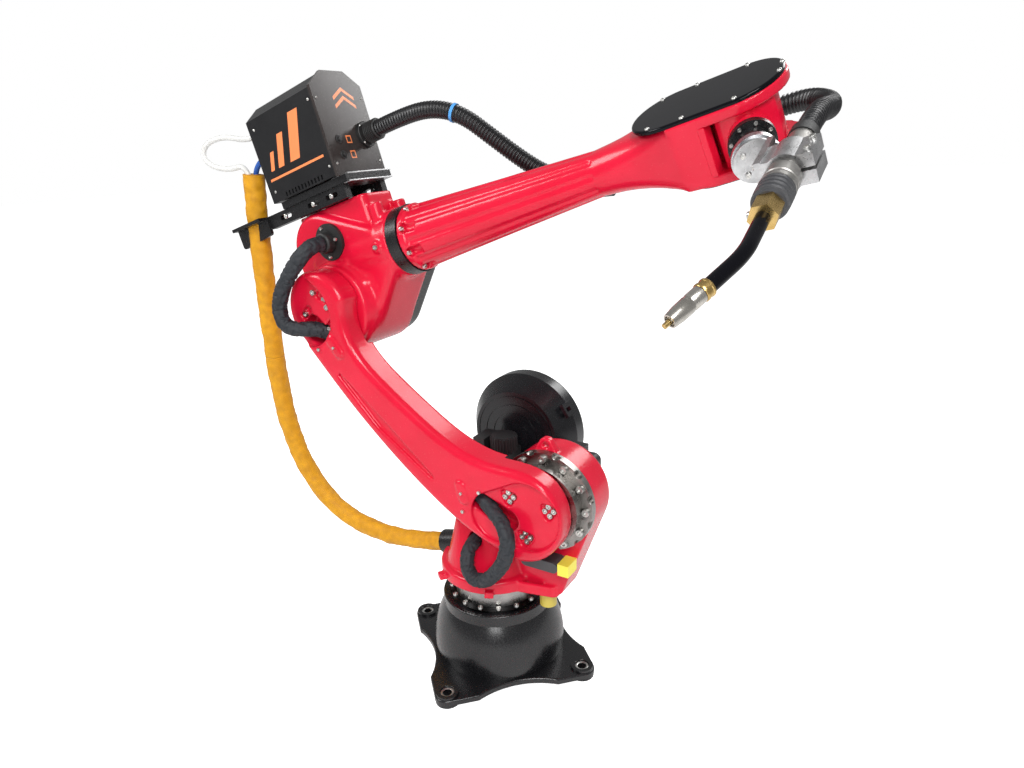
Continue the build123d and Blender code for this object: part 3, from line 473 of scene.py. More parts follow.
COVERED = {
    "conduit_yellow": dict(
        dark=(0.34, 0.13, 0.003), light=(0.92, 0.46, 0.012), rough=(0.42, 0.62),
        pitch=0.0028, threads=46, depth=0.35, Specular_IOR_Level=0.3,
    ),
    "sleeve_grey": dict(
        dark=(0.010, 0.012, 0.015), light=(0.034, 0.038, 0.046), rough=(0.42, 0.66),
        pitch=0.0022, threads=36, depth=0.35, Specular_IOR_Level=0.35,
    ),
    "hose_black": dict(
        dark=(0.004, 0.004, 0.005), light=(0.007, 0.007, 0.008), rough=(0.32, 0.42),
        pitch=0.011, threads=1, depth=0.0,
    ),
    "tube_white": dict(
        dark=(0.60, 0.60, 0.58), light=(0.78, 0.78, 0.76), rough=(0.22, 0.36),
        pitch=0.005, threads=6, depth=0.12,
    ),
    "tube_blue": dict(
        dark=(0.012, 0.07, 0.34), light=(0.03, 0.14, 0.52), rough=(0.22, 0.36),
        pitch=0.002, threads=4, depth=0.05,
    ),
}
MATERIALS = {}
for make, looks in ((coated, COATS), (turned, TURNED), (covered, COVERED)):
    for name, look in looks.items():
        MATERIALS[name] = make(name, **look)

# Nodes that look other than the rest of their slot
SPECIAL = {
    "base_casting": "base_black",
    "j1_reducer_ring": "j1_steel",
    "j2_reducer_ring": "j2_steel",
    "j1_stop_pin": "pin_rubber",
    "j2_stop_arm": "stop_grey",
    "torch_neck": "cover_black",
    "tool_flange": "flange_zinc",
    "feeder_plate": "black_casting",
}
NODES = frame["nodes"]
for part in frame["record"]["subparts"]:
    name = part["node"]
    NODES[name].data.materials.clear()
    NODES[name].data.materials.append(MATERIALS[SPECIAL.get(name, part["material_slot"])])


# Meshes
TURNED_EDGE, CAST_EDGE = radians(35), radians(50)


def add_piece(name, points, faces, material, smooth=True):
    mesh = bpy.data.meshes.new(name)
    mesh.from_pydata(points, [], faces)
    mesh.materials.append(MATERIALS[material])
    mesh.polygons.foreach_set("use_smooth", [smooth] * len(mesh.polygons))
    made = bpy.data.objects.new(name, mesh)
    scene.collection.objects.link(made)
    return made


def ring_faces(rings, round_count, hollow=False):
    """Faces of a closed tube of rings: a cap at each end, or the last ring joined to the first."""
    last = (rings - 1) * round_count
    faces = [] if hollow else [list(range(round_count))[::-1], [last + k for k in range(round_count)]]
    for i in range(rings if hollow else rings - 1):
        low, high = i * round_count, (i + 1) % rings * round_count
        for k in range(round_count):
            after = (k + 1) % round_count
            faces.append([low + k, low + after, high + after, high + k])
    return faces


def route_line(points, steps):
    """Points of the smooth line that has the route's points as its control points."""
    curve = bpy.data.curves.new("route", "CURVE")
    curve.dimensions = "3D"
    spline = curve.splines.new("NURBS")
    spline.points.add(len(points) - 1)
    for target, point in zip(spline.points, points):
        target.co = (*point, 1)
    spline.order_u = 3
    spline.use_endpoint_u = True
    spline.resolution_u = steps
    holder = bpy.data.objects.new("route", curve)
    mesh = bpy.data.meshes.new_from_object(holder)
    line = [v.co.copy() for v in mesh.vertices]
    bpy.data.objects.remove(holder)
    bpy.data.meshes.remove(mesh)
    return line


def hexagon(angle):
    """The radius of a hexagon at an angle, as a share of its corners' radius."""
    return cos(pi / 6) / cos((angle + pi / 6) % (pi / 3) - pi / 6)


def tube(name, line, material, radius, around, lead=0.0):
    """A tube on a line of points; radius is a function of the run in metres and the angle."""
    ways = [(line[min(i + 1, len(line) - 1)] - line[max(i - 1, 0)]).normalized() for i in range(len(line))]
    side = ways[0].orthogonal().normalized()
    points, straight, run = [], [], lead
    for i, (centre, way) in enumerate(zip(line, ways)):
        if i:
            run += (centre - line[i - 1]).length
        side = (side - way * side.dot(way)).normalized()
        other = way.cross(side)
        for k in range(around):
            angle = 2 * pi * k / around
            size = radius(run, angle)
            points.append(centre + (side * cos(angle) + other * sin(angle)) * size)
            straight.extend((cos(angle) * size, sin(angle) * size, run))
    made = add_piece(name, points, ring_faces(len(line), around), material)
    lay = made.data.attributes.new("straight", "FLOAT_VECTOR", "POINT")
    lay.data.foreach_set("vector", straight)
    return made, run


def lathed(name, place, profile, material, around=40, hexed=0, hollow=False):
    """A turned piece on the frame's x axis from (run, radius) steps; the first hexed steps are a hexagon."""
    rings = []
    for step, (x, r) in enumerate(profile):
        for k in range(around):
            angle = 2 * pi * k / around
            size = r * hexagon(angle) if step < hexed else r
            rings.append(place @ Vector((x, size * cos(angle), size * sin(angle))))
    made = add_piece(name, rings, ring_faces(len(profile), around, hollow), material)
    made.data.set_sharp_from_angle(angle=TURNED_EDGE)
    return made


# Cords: a tube on each span's route, most of them across one joint, and its ribs or folds run on from the span before


RIB_FOOT, RIB_HIGH, RIB_PITCH, RIB_FULL = 0.0117, 0.0023, 0.0060, 0.6
CONDUIT_RADIUS, SLEEVE_RADIUS, TUBE_RADIUS = 0.0204, 0.0143, 0.005
FOLD_DEPTH, FOLD_WIDE = 0.0028, 0.22


def round_noise(angle, wide, run):
    """Noise that closes on itself round a cord."""
    return noise.noise((cos(angle) * wide, sin(angle) * wide, run))


def hose_ribs(run, angle):
    return RIB_FOOT + RIB_HIGH * (0.5 + 0.5 * cos(2 * pi * run / RIB_PITCH)) ** RIB_FULL


def conduit_folds(run, angle):
    twist = sin(2 * angle + run / 0.011) * 0.0004 + sin(3 * angle - run / 0.017) * 0.0003
    crease = round_noise(angle, 1.4, run / 0.016)
    small = round_noise(angle, 3.1, run / 0.007 + 3)
    return CONDUIT_RADIUS + twist + 0.0017 * crease + 0.0006 * small


def sleeve_folds(run, angle):
    crease = round_noise(angle, 1.1, run / 0.010)
    small = round_noise(angle, 2.4, run / 0.006 + 7)
    fold = abs(round_noise(angle, 1.6, run / 0.013 + 11))
    dip = FOLD_DEPTH * max(0.0, FOLD_WIDE - fold) / FOLD_WIDE
    return SLEEVE_RADIUS + 0.0010 * crease + 0.0005 * small - dip


def plain_tube(run, angle):
    return TUBE_RADIUS


CONDUIT_HIGH = [(-480, -50, 975), (-490, -50, 880), (-504, -49, 750), (-518, -44, 612)]
CONDUIT_LOW = [
    (-518.1, -44, 611.5), (-528, -40, 490), (-504, -28, 345), (-440, -16, 248), (-342, -8, 208), (-228, -3, 205),
    (-128, 0, 229),
]
SLEEVE_LOW = [
    (43, -104, 430), (90, -128, 413), (125, -150, 398), (130, -156, 365), (113, -150, 322), (67, -137, 267),
    (26, -126, 253), (4, -112, 278), (0, -86, 304), (0, -50, 304),
]
SLEEVE_HIGH = [
    (22, -84.3, 116), (22, -113, 116), (2, -132, 98), (-30, -140, 76), (-58, -145, 52), (-77, -147, 24),
    (-74, -147, -6), (-50, -140, -18), (-24, -118, -26), (-11, -104.4, -40), (-2, -103.8, -57),
]
HOSE_FEEDER = [
    (141.3, 29, 277), (196, 29, 277), (262, 30, 269), (313, 36, 242), (352, 46, 193), (390, 54, 146), (430, 58, 106),
    (470, 58.5, 84),
]
HOSE_FOREARM = [(470.4, 56, -18.2), (500, 49.6, -33.1), (548, 47.5, -42), (600, 55, -43), (645, 70, -39)]
HOSE_WRIST = [(645.4, 70.1, -39), (700, 88.3, -34.2), (775, 99, -31), (824, 90, -30), (838, 74, -29.5)]
HOSE_TORCH = [(838.3, 73.7, -29.5), (856, 53.4, -28.9), (862, 8, -22), (855.1, -39.6, 0), (847.4, -98.3, 0)]
GAS_TUBE = [
    (-107.3, -30, 345), (-134, -30, 345), (-176, -44, 368), (-222, -55, 370), (-243, -58, 350), (-222, -57, 324),
    (-178, -55, 306), (-132, -54, 302), (-136.5, -53, 264),
]
WIRE_TUBE = [(-136.5, -42, 264), (-129, -42, 300), (-79.3, -42, 300)]

# slot: radius, points round, width, stiffness, lay
COVERS = {
    "conduit_yellow": (conduit_folds, 40, 0.042, "stiff", "hanging"),
    "sleeve_grey": (sleeve_folds, 32, 0.028, "medium", "loose"),
    "hose_black": (hose_ribs, 24, 0.028, "stiff", "loose"),
    "tube_white": (plain_tube, 20, 0.010, "medium", "loose"),
    "tube_blue": (plain_tube, 20, 0.010, "medium", "loose"),
}
# name, slot, route, frame, points a span, and the body, or two bodies with the bend's first and last route point
CORDS = [
    ("conduit_upper", "conduit_yellow", CONDUIT_HIGH, FLOOR, 70, ("elbow", "lower_arm", 1, 3)),
    ("conduit_lower", "conduit_yellow", CONDUIT_LOW, FLOOR, 50, ("lower_arm", "turret", 0, 5)),
    ("sleeve_lower", "sleeve_grey", SLEEVE_LOW, FLOOR, 24, ("lower_arm", "turret", 0, 9)),
    ("sleeve_upper", "sleeve_grey", SLEEVE_HIGH, ELBOW, 24, ("elbow", "lower_arm", 0, 10)),
    ("hose_feeder", "hose_black", HOSE_FEEDER, ELBOW, 84, ("elbow", "forearm", 1, 7)),
    ("hose_forearm", "hose_black", HOSE_FOREARM, FOREARM, 84, ("forearm",)),
    ("hose_wrist", "hose_black", HOSE_WRIST, FOREARM, 100, ("forearm", "wrist", 0, 4)),
    ("hose_torch", "hose_black", HOSE_TORCH, FOREARM, 80, ("wrist", "tool", 0, 4)),
    ("gas_tube", "tube_white", GAS_TUBE, ELBOW, 16, ("elbow",)),
    ("wire_tube", "tube_blue", WIRE_TUBE, ELBOW, 24, ("elbow",)),
]
GOES_ON = ("conduit_lower", "hose_forearm", "hose_wrist", "hose_torch")
lead = 0.0
for name, slot, route, place, steps, bodies in CORDS:
    radius, around, width, stiffness, lay = COVERS[slot]
    ends = [place @ Vector(p) for p in route]
    line = route_line(ends, steps)
    made, lead = tube(name + "_cover", line, slot, radius, around, lead if name in GOES_ON else 0.0)
    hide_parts(name)
    if len(bodies) == 1:
        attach(made, bodies[0])
    else:
        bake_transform(made)


# Screws: one tree sets a screw on each point, turned to its axis and scaled to its head


HEAD_SIDES = 18


def screw_head(name, profile, corners):
    """A head along +Z from (radius, height) steps, one unit in radius; the steps from corners on are a hexagon."""
    points = []
    for step, (r, z) in enumerate(profile):
        for k in range(HEAD_SIDES):
            angle = 2 * pi * k / HEAD_SIDES
            size = r * hexagon(angle) if step >= corners else r
            points.append((size * cos(angle), size * sin(angle), z))
    head = add_piece(name, points, ring_faces(len(profile), HEAD_SIDES), "zinc")
    head.data.set_sharp_from_angle(angle=TURNED_EDGE)
    scene.collection.objects.unlink(head)
    return head


SOCKET_STEPS = [(1.0, -0.2), (1.0, 0.85), (0.90, 1.0), (0.60, 1.0), (0.60, 0.5)]
ROUND_STEPS = [(1.0, -0.2), (0.98, 0.15), (0.86, 0.42), (0.62, 0.60), (0.42, 0.66), (0.42, 0.35)]
SOCKET_HEAD = screw_head("socket_head", SOCKET_STEPS, 3)
ROUND_HEAD = screw_head("round_head", ROUND_STEPS, 4)


def screw_tree():
    tree = bpy.data.node_groups.new("screw_row", "GeometryNodeTree")
    tree.interface.new_socket("Geometry", in_out="INPUT", socket_type="NodeSocketGeometry")
    tree.interface.new_socket("Head", in_out="INPUT", socket_type="NodeSocketObject")
    tree.interface.new_socket("Finish", in_out="INPUT", socket_type="NodeSocketMaterial")
    tree.interface.new_socket("Geometry", in_out="OUTPUT", socket_type="NodeSocketGeometry")
    given, out = tree.nodes.new("NodeGroupInput"), tree.nodes.new("NodeGroupOutput")
    head = tree.nodes.new("GeometryNodeObjectInfo")
    axis = tree.nodes.new("GeometryNodeInputNamedAttribute")
    axis.data_type = "FLOAT_VECTOR"
    axis.inputs["Name"].default_value = "axis"
    size = tree.nodes.new("GeometryNodeInputNamedAttribute")
    size.data_type = "FLOAT"
    size.inputs["Name"].default_value = "size"
    turn = tree.nodes.new("FunctionNodeAlignRotationToVector")
    turn.axis = "Z"
    row = tree.nodes.new("GeometryNodeInstanceOnPoints")
    real = tree.nodes.new("GeometryNodeRealizeInstances")
    paint = tree.nodes.new("GeometryNodeSetMaterial")
    links = tree.links
    links.new(given.outputs["Head"], head.inputs["Object"])
    links.new(given.outputs["Geometry"], row.inputs["Points"])
    links.new(head.outputs["Geometry"], row.inputs["Instance"])
    links.new(axis.outputs[0], turn.inputs["Vector"])
    links.new(turn.outputs[0], row.inputs["Rotation"])
    links.new(size.outputs[0], row.inputs["Scale"])
    links.new(row.outputs[0], real.inputs[0])
    links.new(real.outputs[0], paint.inputs["Geometry"])
    links.new(given.outputs["Finish"], paint.inputs["Material"])
    links.new(paint.outputs[0], out.inputs["Geometry"])
    return tree


SCREW_ROW = screw_tree()


def settled(made):
    """The object's modifiers taken into its mesh."""
    bpy.context.view_layer.update()
    made.data = bpy.data.meshes.new_from_object(made.evaluated_get(bpy.context.evaluated_depsgraph_get()))
    made.modifiers.clear()


def screws(name, body, head, spots):
    """Spots are (frame, point, axis, head radius), millimetres in the frame."""
    mesh = bpy.data.meshes.new(name)
    mesh.from_pydata([place @ Vector(point) for place, point, way, size in spots], [], [])
    ways = [(place.to_3x3() @ Vector(way)).normalized() for place, point, way, size in spots]
    axis = mesh.attributes.new("axis", "FLOAT_VECTOR", "POINT")
    axis.data.foreach_set("vector", [c for way in ways for c in way])
    size = mesh.attributes.new("size", "FLOAT", "POINT")
    size.data.foreach_set("value", [spot[3] * MM for spot in spots])
    made = bpy.data.objects.new(name, mesh)
    scene.collection.objects.link(made)
    setter = made.modifiers.new("row", "NODES")
    setter.node_group = SCREW_ROW
    items = SCREW_ROW.interface.items_tree
    named = {item.name: item.identifier for item in items if item.in_out == "INPUT"}
    setter[named["Head"]] = head
    setter[named["Finish"]] = MATERIALS["zinc"]
    settled(made)
    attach(made, body)
    return made


def circle(place, centre, first, second, way, radius, count, size, start=0.0):
    """Screws on a circle in the plane of two directions."""
    spots = []
    for k in range(count):
        angle = radians(start + 360 / count * k)
        point = Vector(centre) + Vector(first) * radius * cos(angle) + Vector(second) * radius * sin(angle)
        spots.append((place, point, way, size))
    return spots


SEEK = 40


def seated(name, place, point, way):
    """The point moved along its axis onto the node's surface."""
    start = place @ (Vector(point) + Vector(way) * SEEK)
    aim = (place.to_3x3() @ Vector(way)).normalized()
    hit, spot = NODES[name].ray_cast(start, -aim)[:2]
    return place.inverted() @ spot if hit else Vector(point)


X, Y, Z = (1, 0, 0), (0, 1, 0), (0, 0, 1)
NEAR, FAR, DOWN = (0, -1, 0), (0, 1, 0), (0, 0, -1)
SIDES = (-1, 1)


def row(place, points, way, size):
    """Screws of one size and axis at the points given."""
    return [(place, point, way, size) for point in points]


screws("base_screws", "base", SOCKET_HEAD, circle(FLOOR, (0, 0, 161), X, Y, Z, 94.6, 16, 5.2, 11.25))
shoulder_ring = circle(FLOOR, (SHOULDER_OUT, -60, SHOULDER_HIGH), X, Z, NEAR, 85, 12, 7.0)
screws("turret_screws", "turret", SOCKET_HEAD, shoulder_ring + row(FLOOR, [(137, -25, 172.5)], DOWN, 7.0))

arm = []
for u, w in ((0, 46), (-39.8, -23), (39.8, -23)):
    arm += circle(LOWER, (u, -113, w), X, Z, NEAR, 8.8, 4, 5.2, 45)
for u, w in ((24, 565.5), (24, 543.5), (22, 526.5), (-33, 567.5), (-30, 549.5)):
    arm.append((LOWER, seated("lower_arm_casting", LOWER, (u, -121, w), NEAR), NEAR, 5.2))
for u, w in ((-60, 116), (-27, 473)):
    arm.append((LOWER, seated("lower_arm_casting", LOWER, (u, -130, w), NEAR), NEAR, 2.8))
arm += row(LOWER, [(u, -130, w) for u, w in ((-31, 91.5), (-92, 94), (-3, 499), (-59.5, 502))], NEAR, 3.4)
screws("arm_screws", "lower_arm", SOCKET_HEAD, arm)

gland = circle(ELBOW, (22, -71, 116), X, Z, NEAR, 26, 4, 3.2)
screws("elbow_screws", "elbow", SOCKET_HEAD, gland + row(ELBOW, [(131, -66, 80)], NEAR, 4.2))

CASE_CORNERS = ((88, 342), (-64, 342), (88, 232), (-64, 232))
PANEL_CORNERS = ((-63, 340), (50, 340), (-63, 232), (50, 232))
RAIL_SCREWS = (-70, 10, 60)
feeder = row(ELBOW, [(x, -68, z) for x, z in CASE_CORNERS], NEAR, 2.6)
feeder += row(ELBOW, [(x, 55, z) for x, z in CASE_CORNERS], FAR, 2.6)
feeder += row(ELBOW, [(103, y, z) for y, z in PANEL_CORNERS], X, 2.4)
feeder += row(ELBOW, [(x, -58, 188) for x in RAIL_SCREWS], NEAR, 5.0)
feeder += row(ELBOW, [(x, 54, 188) for x in RAIL_SCREWS], FAR, 5.0)
feeder += row(ELBOW, [(111, 29 + 14.2 * y, 277 + 14.2 * z) for z in SIDES for y in SIDES], X, 2.2)
screws("feeder_screws", "elbow", ROUND_HEAD, feeder)

UPPER_COVER, LOWER_COVER = ((771, 52), (703, 52), (654, 46), (820, 14)), ((771, 43), (730, 43))
cover = row(FOREARM, [(a, b * side, 52) for a, b in UPPER_COVER for side in SIDES], Z, 3.4)
cover += row(FOREARM, [(a, b * side, -52) for a, b in LOWER_COVER for side in SIDES], DOWN, 3.4)
screws("cover_screws", "forearm", ROUND_HEAD, cover)
screws("forearm_screws", "forearm", SOCKET_HEAD, circle(FOREARM, (185.5, 0, 0), Y, Z, X, 54, 8, 4.2))
screws("wrist_screws", "wrist", SOCKET_HEAD, circle(WRIST, (82, 0, 0), Y, Z, X, 25.6, 8, 2.5, 22.5))
tool = circle(WRIST, (135, 0, 0), Y, Z, X, 17, 4, 3.4, 45)
tool += row(TORCH, [(x, 26, 18) for x in (42, 66)], Z, 3.8)
tool += row(TORCH, [(x, -31, z) for x in (44, 64) for z in (-12, 12)], NEAR, 4.0)
tool += row(TORCH, [(150, -14.7, 0)], NEAR, 4.5)
screws("tool_screws", "tool", SOCKET_HEAD, tool)


# Turned fittings, plugs, ties and rings that the solids leave plain


def fitted(made, body, slot, *nodes):
    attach(made, body)
    if nodes:
        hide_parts(*nodes)
    return made


socket = [(103, 22), (110, 22), (111, 21), (111, 17.5), (114, 17.5), (115, 18)]
for k in range(5):
    run = 117 + 4 * k
    socket += [(run, 18), (run + 1, 16.4), (run + 2.5, 16.4), (run + 3.5, 18)]
socket += [(139, 18), (141, 16.5)]
SOCKET = ELBOW @ Matrix.Translation((0, 29, 277))
fitted(lathed("hose_socket", SOCKET, socket, "rubber_black"), "elbow", "rubber_black", "hose_fitting")
barb = [(79, 8), (93, 8), (93.2, 5.6), (96, 6.5), (98, 5.4), (100, 6.5), (102, 5.4), (104, 6.5), (107, 5.2)]
GAS = ELBOW @ Matrix.Translation((0, -30, 345)) @ Matrix.Rotation(pi, 4, "Z")
fitted(lathed("gas_barb", GAS, barb, "nozzle_steel", hexed=2), "elbow", "brass", "gas_fitting")
plug = [(103, 7), (104.5, 7), (105.2, 6.2), (105.2, 4.4), (108, 4.2), (108.6, 3.4)]
for k, high in enumerate((271.5, 245.5)):
    seat = ELBOW @ Matrix.Translation((0, -41, high))
    fitted(lathed(f"panel_plug_{k + 1}", seat, plug, "rubber_black", 24), "elbow", "rubber_black")

barrel = [(0, 15), (1, 16), (33, 16), (34, 15.2), (74, 15.2), (75, 16), (80, 16), (81, 20.4), (96, 20.4)]
barrel += [(97, 19.4), (100, 19.4), (101, 20.8), (107, 20.8), (108, 18)]
grip = [(108, 15), (108, 18)]
for k in range(3):
    run = 109 + 7 * k
    grip += [(run, 21), (run + 4, 21), (run + 5, 18.8), (run + 6.4, 18.8)]
grip += [(130, 20.6), (134, 20.6), (135, 18), (138, 17)]
fitted(lathed("torch_barrel", TORCH, barrel, "torch_metal"), "tool", "torch_metal", "torch_body")
fitted(lathed("torch_grip", TORCH, grip, "stop_grey"), "tool", "torch_metal", "torch_body")

BODY_LENGTH, NUT_LENGTH, NECK_STRAIGHT, NECK_END = 138, 24, 64, 53
tip_turn = radians(24)
bend_run = BODY_LENGTH + NUT_LENGTH + NECK_STRAIGHT
nozzle_root = Vector((bend_run + NECK_END * cos(tip_turn), -NECK_END * sin(tip_turn), 0))
NOZZLE = TORCH @ Matrix.Translation(nozzle_root) @ Matrix.Rotation(-tip_turn, 4, "Z")
collar = [(0, 9.6), (1, 10.5), (3, 10.5), (3.6, 9.9), (8, 9.9), (8.6, 10.5), (11, 10.5), (12, 9.8)]
fitted(lathed("nozzle_collar", NOZZLE, collar, "brass"), "tool", "brass", "neck_ring")
nozzle = [(12, 8.6), (12.6, 9.5), (26, 9.5), (27, 8.9), (29, 8.9), (30, 9.5), (44, 9.3), (52, 8.4), (56, 7.9)]
nozzle += [(56, 6.2), (50, 6.0)]
fitted(lathed("nozzle_shell", NOZZLE, nozzle, "nozzle_steel"), "tool", "nozzle_steel", "torch_nozzle")

FOOT_CIRCLE = 199.5
washer = [(19, 14.6), (20.2, 14.6), (20.6, 14), (20.6, 9.8), (20.2, 9.2), (19, 9.2)]
for x in (-FOOT_CIRCLE, FOOT_CIRCLE):
    for name, spot in ((f"x{int(x)}", (x, 0, 0)), (f"y{int(x)}", (0, x, 0))):
        seat = FLOOR @ Matrix.Translation(spot) @ Matrix.Rotation(-pi / 2, 4, "Y")
        ring = lathed(f"foot_washer_{name}", seat, washer, "zinc", 32, hollow=True)
        fitted(ring, "base", "machined_steel")


def arc(radius, start, end, step):
    """Points on a circle, from one degree up to but not at another."""
    return [(radius * cos(radians(a)), radius * sin(radians(a))) for a in range(start, end, step)]


def drawn(name, place, outline, low, high, material, lift):
    """An outline drawn through; lift turns (first, second, height) into the frame's point."""
    count = len(outline)
    points = [place @ Vector(lift(u, v, h)) for h in (low, high) for u, v in outline]
    faces = [list(range(count))[::-1], [count + k for k in range(count)]]
    faces += [[k, (k + 1) % count, count + (k + 1) % count, count + k] for k in range(count)]
    made = add_piece(name, points, faces, material, smooth=False)
    edge = made.modifiers.new("edge", "BEVEL")
    edge.width = 0.0006
    edge.segments = 2
    edge.limit_method = "ANGLE"
    return made


channel = [
    (70, 199), (112.6, 199), (112.6, 201.5), (72.5, 201.5), (72.5, 212), (112.6, 212), (112.6, 214.6), (70, 214.6),
]
plate = drawn("feeder_channel", ELBOW, channel, -60, 56, "bare_aluminium", lambda u, v, h: (u, -h, v))
fitted(plate, "elbow", "bare_aluminium")

# The wrist's round back turns under a lip at each side of the fork
BULGE_OUT, BULGE_IN, BULGE_HALF = 55, 38, 32.6
LIP_RADIUS, LIP_HALF = 56.3, 33.5
bulge = arc(BULGE_OUT, -43, 44, 2) + arc(BULGE_IN, 43, -44, -2)
back = drawn("wrist_bulge", WRIST, bulge, -BULGE_HALF, BULGE_HALF, "red_paint", lambda u, v, h: (u, v, h))
fitted(back, "wrist", "red_paint")
half_lip = arc(LIP_RADIUS, 145, 125, -2) + [(-35.4, 49.7), (-38, 61), (-46, 61)]
for side, name in zip(SIDES, ("near", "far")):
    lip = [(u, v * side) for u, v in half_lip][::side]
    edge = drawn(
        f"wrist_lip_{name}", FOREARM, lip, -LIP_HALF, LIP_HALF, "red_paint", lambda u, v, h: (FOREARM_LENGTH + u, v, h)
    )
    fitted(edge, "forearm", "red_paint")


def cast_shell(casting, body, grid_size, rounds, softness):
    """A casting with the soft edges that come out of a mould; softness says how much, by place."""
    made = bpy.data.objects.new(casting.replace("casting", "shell"), NODES[casting].data.copy())
    scene.collection.objects.link(made)
    weld = made.modifiers.new("weld", "WELD")
    weld.merge_threshold = 0.00001
    grid = made.modifiers.new("grid", "REMESH")
    grid.mode = "VOXEL"
    grid.voxel_size = grid_size
    settled(made)
    soft = made.vertex_groups.new(name="soft")
    for vertex in made.data.vertices:
        soft.add([vertex.index], softness(vertex.co), "REPLACE")
    cast = made.modifiers.new("cast", "SMOOTH")
    cast.vertex_group = "soft"
    cast.iterations = rounds
    thin = made.modifiers.new("thin", "DECIMATE")
    thin.ratio = 0.5
    settled(made)
    made.vertex_groups.clear()
    made.data.materials.clear()
    made.data.materials.append(MATERIALS["red_paint"])
    made.data.polygons.foreach_set("use_smooth", [True] * len(made.data.polygons))
    made.data.set_sharp_from_angle(angle=CAST_EDGE)
    return fitted(made, body, "red_paint", casting)


def ramp(value, start, end):
    return max(0.0, min(1.0, (value - start) / (end - start)))


def forearm_soft(point):
    """The flare melts into the wrist, but the flutes and the cover's seat stay crisp."""
    a, b, c = FOREARM.inverted() @ point
    near = ramp(a, 560, 600) * ramp(a, 718, 694)
    top = ramp(c, 40, 34) if a > 600 else 1.0
    return max(0.03, near * top)


cast_shell("forearm_casting", "forearm", 0.0019, 160, forearm_soft)


def elbow_soft(point):
    """The lower front of the elbow is the roundest."""
    x, y, z = ELBOW.inverted() @ point
    return 0.1 + 0.9 * ramp(z, 70, 30) * ramp(x, 40, 80)


cast_shell("elbow_casting", "elbow", 0.0021, 120, elbow_soft)
cast_shell("lower_arm_casting", "lower_arm", 0.0021, 14, lambda point: 0.4)
cast_shell("turret_casting", "turret", 0.0021, 10, lambda point: 0.4)

CAP_RIBS, CAP_FOOT, CAP_TOP, CAP_MIDDLE = 28, 453, 484.5, (4, 45)
knurl = []
for k in range(CAP_RIBS):
    for turn, size in ((0.0, 25.6), (0.35, 27.6), (0.65, 27.6), (1.0, 25.6)):
        angle = 2 * pi * (k + turn * 0.75) / CAP_RIBS
        knurl.append((CAP_MIDDLE[0] + size * cos(angle), CAP_MIDDLE[1] + size * sin(angle)))
cap = drawn("motor_cap_ribs", FLOOR, knurl, CAP_FOOT, CAP_TOP, "motor_black", lambda u, v, h: (u, v, h))
fitted(cap, "turret", "motor_black")

TIE_NEAR = ELBOW @ Vector((300, 35, 247))
tie_ring = [(-2.6, 14.2), (-2.6, 15.2), (2.6, 15.2), (2.6, 14.2)]
hose = [ELBOW @ Vector(p) for p in HOSE_FEEDER]
hose_line = route_line(hose, 24)
middle = min(range(len(hose_line)), key=lambda i: (hose_line[i] - TIE_NEAR).length)
way = (hose_line[middle + 1] - hose_line[middle - 1]).normalized()
TIE = link_frame(hose_line[middle], way, way.cross((0, 1, 0)).normalized())
tie = lathed("hose_tie", TIE, tie_ring, "tie_blue", hollow=True)
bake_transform(tie)


# Floor, light and camera


FLOOR_SEEN, SKY_LIGHT, SKY_SEEN = 0.8, 0.36, 1.0


def pale_floor():
    made, tree, sockets = start_material("floor_pale", 0.7)
    grain = group_node(tree, GRAIN, here(tree), Scale=40.0, Depth=0.0, Patch=1.5)
    colour = blend_colours(tree, grain["Tone"], (0.93, 0.93, 0.93), (0.95, 0.95, 0.95))
    tree.links.new(colour, sockets["Base Color"])
    sockets["Emission Color"].default_value = (1, 1, 1, 1)
    path = node(tree, "ShaderNodeLightPath")
    seen = maths(tree, "MULTIPLY", path.outputs["Is Camera Ray"], FLOOR_SEEN)
    tree.links.new(seen, sockets["Emission Strength"])
    return made


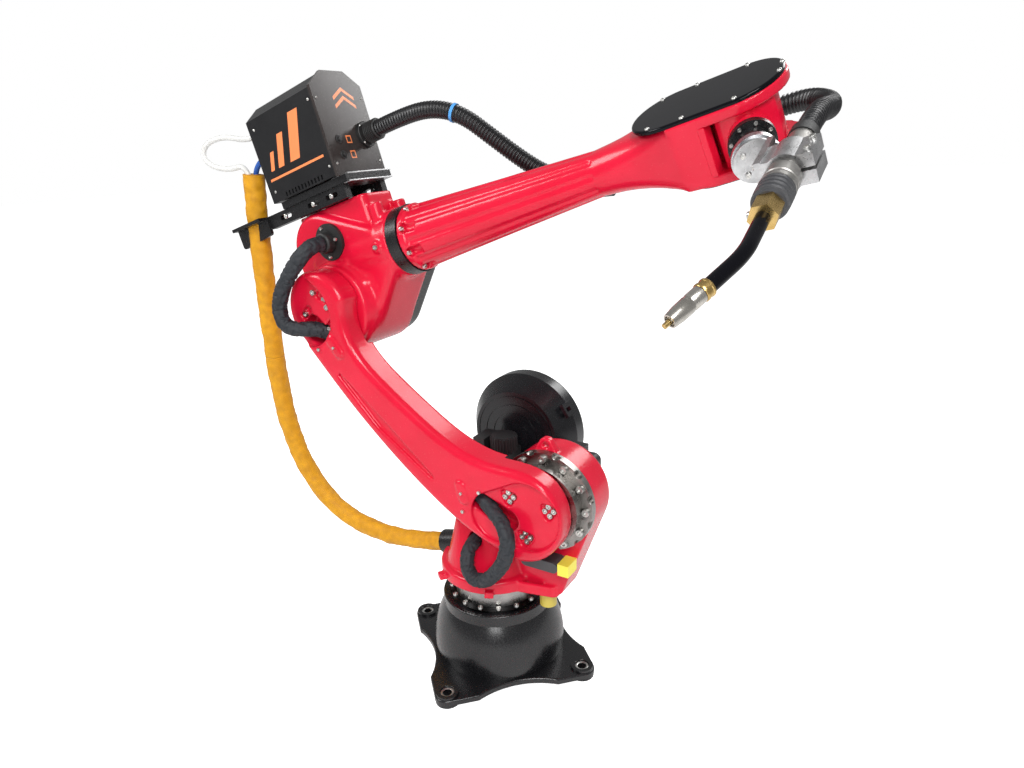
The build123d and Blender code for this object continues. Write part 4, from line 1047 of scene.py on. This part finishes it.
bpy.ops.mesh.primitive_plane_add(size=40)
floor = bpy.context.object
floor.data.materials.append(pale_floor())
world = bpy.data.worlds.new("studio")
scene.world = world
world.use_nodes = True
sky = world.node_tree
light_path = sky.nodes.new("ShaderNodeLightPath")
seen = maths(sky, "MAXIMUM", light_path.outputs["Is Camera Ray"], light_path.outputs["Is Transmission Ray"])
sky.nodes["Background"].inputs["Color"].default_value = (1, 1, 1, 1)
strength = spread_value(sky, seen, SKY_LIGHT, SKY_SEEN, 0.0, 1.0)
sky.links.new(strength, sky.nodes["Background"].inputs["Strength"])
# place, width and watts of each soft lamp, all aimed at one point
LAMPS = [
    ((1.5, -2.1, 2.9), 1.2, 76),
    ((1.3, -2.7, 1.5), 1.0, 28),
    ((-2.2, -1.6, 2.6), 1.2, 46),
    ((0.8, 2.4, 2.6), 1.4, 44),
]
LAMP_AIM = Vector((0, 0, 0.5))
for spot, size, power in LAMPS:
    lamp = bpy.data.lights.new("soft_box", "AREA")
    lamp.size = size
    lamp.energy = power
    box = bpy.data.objects.new("soft_box", lamp)
    box.location = spot
    box.rotation_mode = "QUATERNION"
    box.rotation_quaternion = (LAMP_AIM - Vector(spot)).to_track_quat("-Z", "Y")
    scene.collection.objects.link(box)

# The photo's camera, as fitted to the bolt circles and the arm's axes
AZ, EL, ROLL = radians(32.6), radians(24.7), radians(-2.6)
CAMERA_AIM, CAMERA_AWAY = Vector((0.0291, 0, 0.4417)), 1.3745
back = Vector((sin(AZ) * cos(EL), -cos(AZ) * cos(EL), sin(EL)))
right = Vector((cos(AZ), sin(AZ), 0))
up = back.cross(right)
right, up = right * cos(ROLL) + up * sin(ROLL), up * cos(ROLL) - right * sin(ROLL)
camera = bpy.data.cameras.new("camera")
camera.sensor_width = 36
camera.lens = 24.887
camera.shift_x = 0.0084
camera.shift_y = 0.0797
eye = bpy.data.objects.new("camera", camera)
turn = Matrix((right, up, back)).transposed()
eye.matrix_world = Matrix.Translation(CAMERA_AIM + back * CAMERA_AWAY) @ turn.to_4x4()
scene.collection.objects.link(eye)
scene.camera = eye
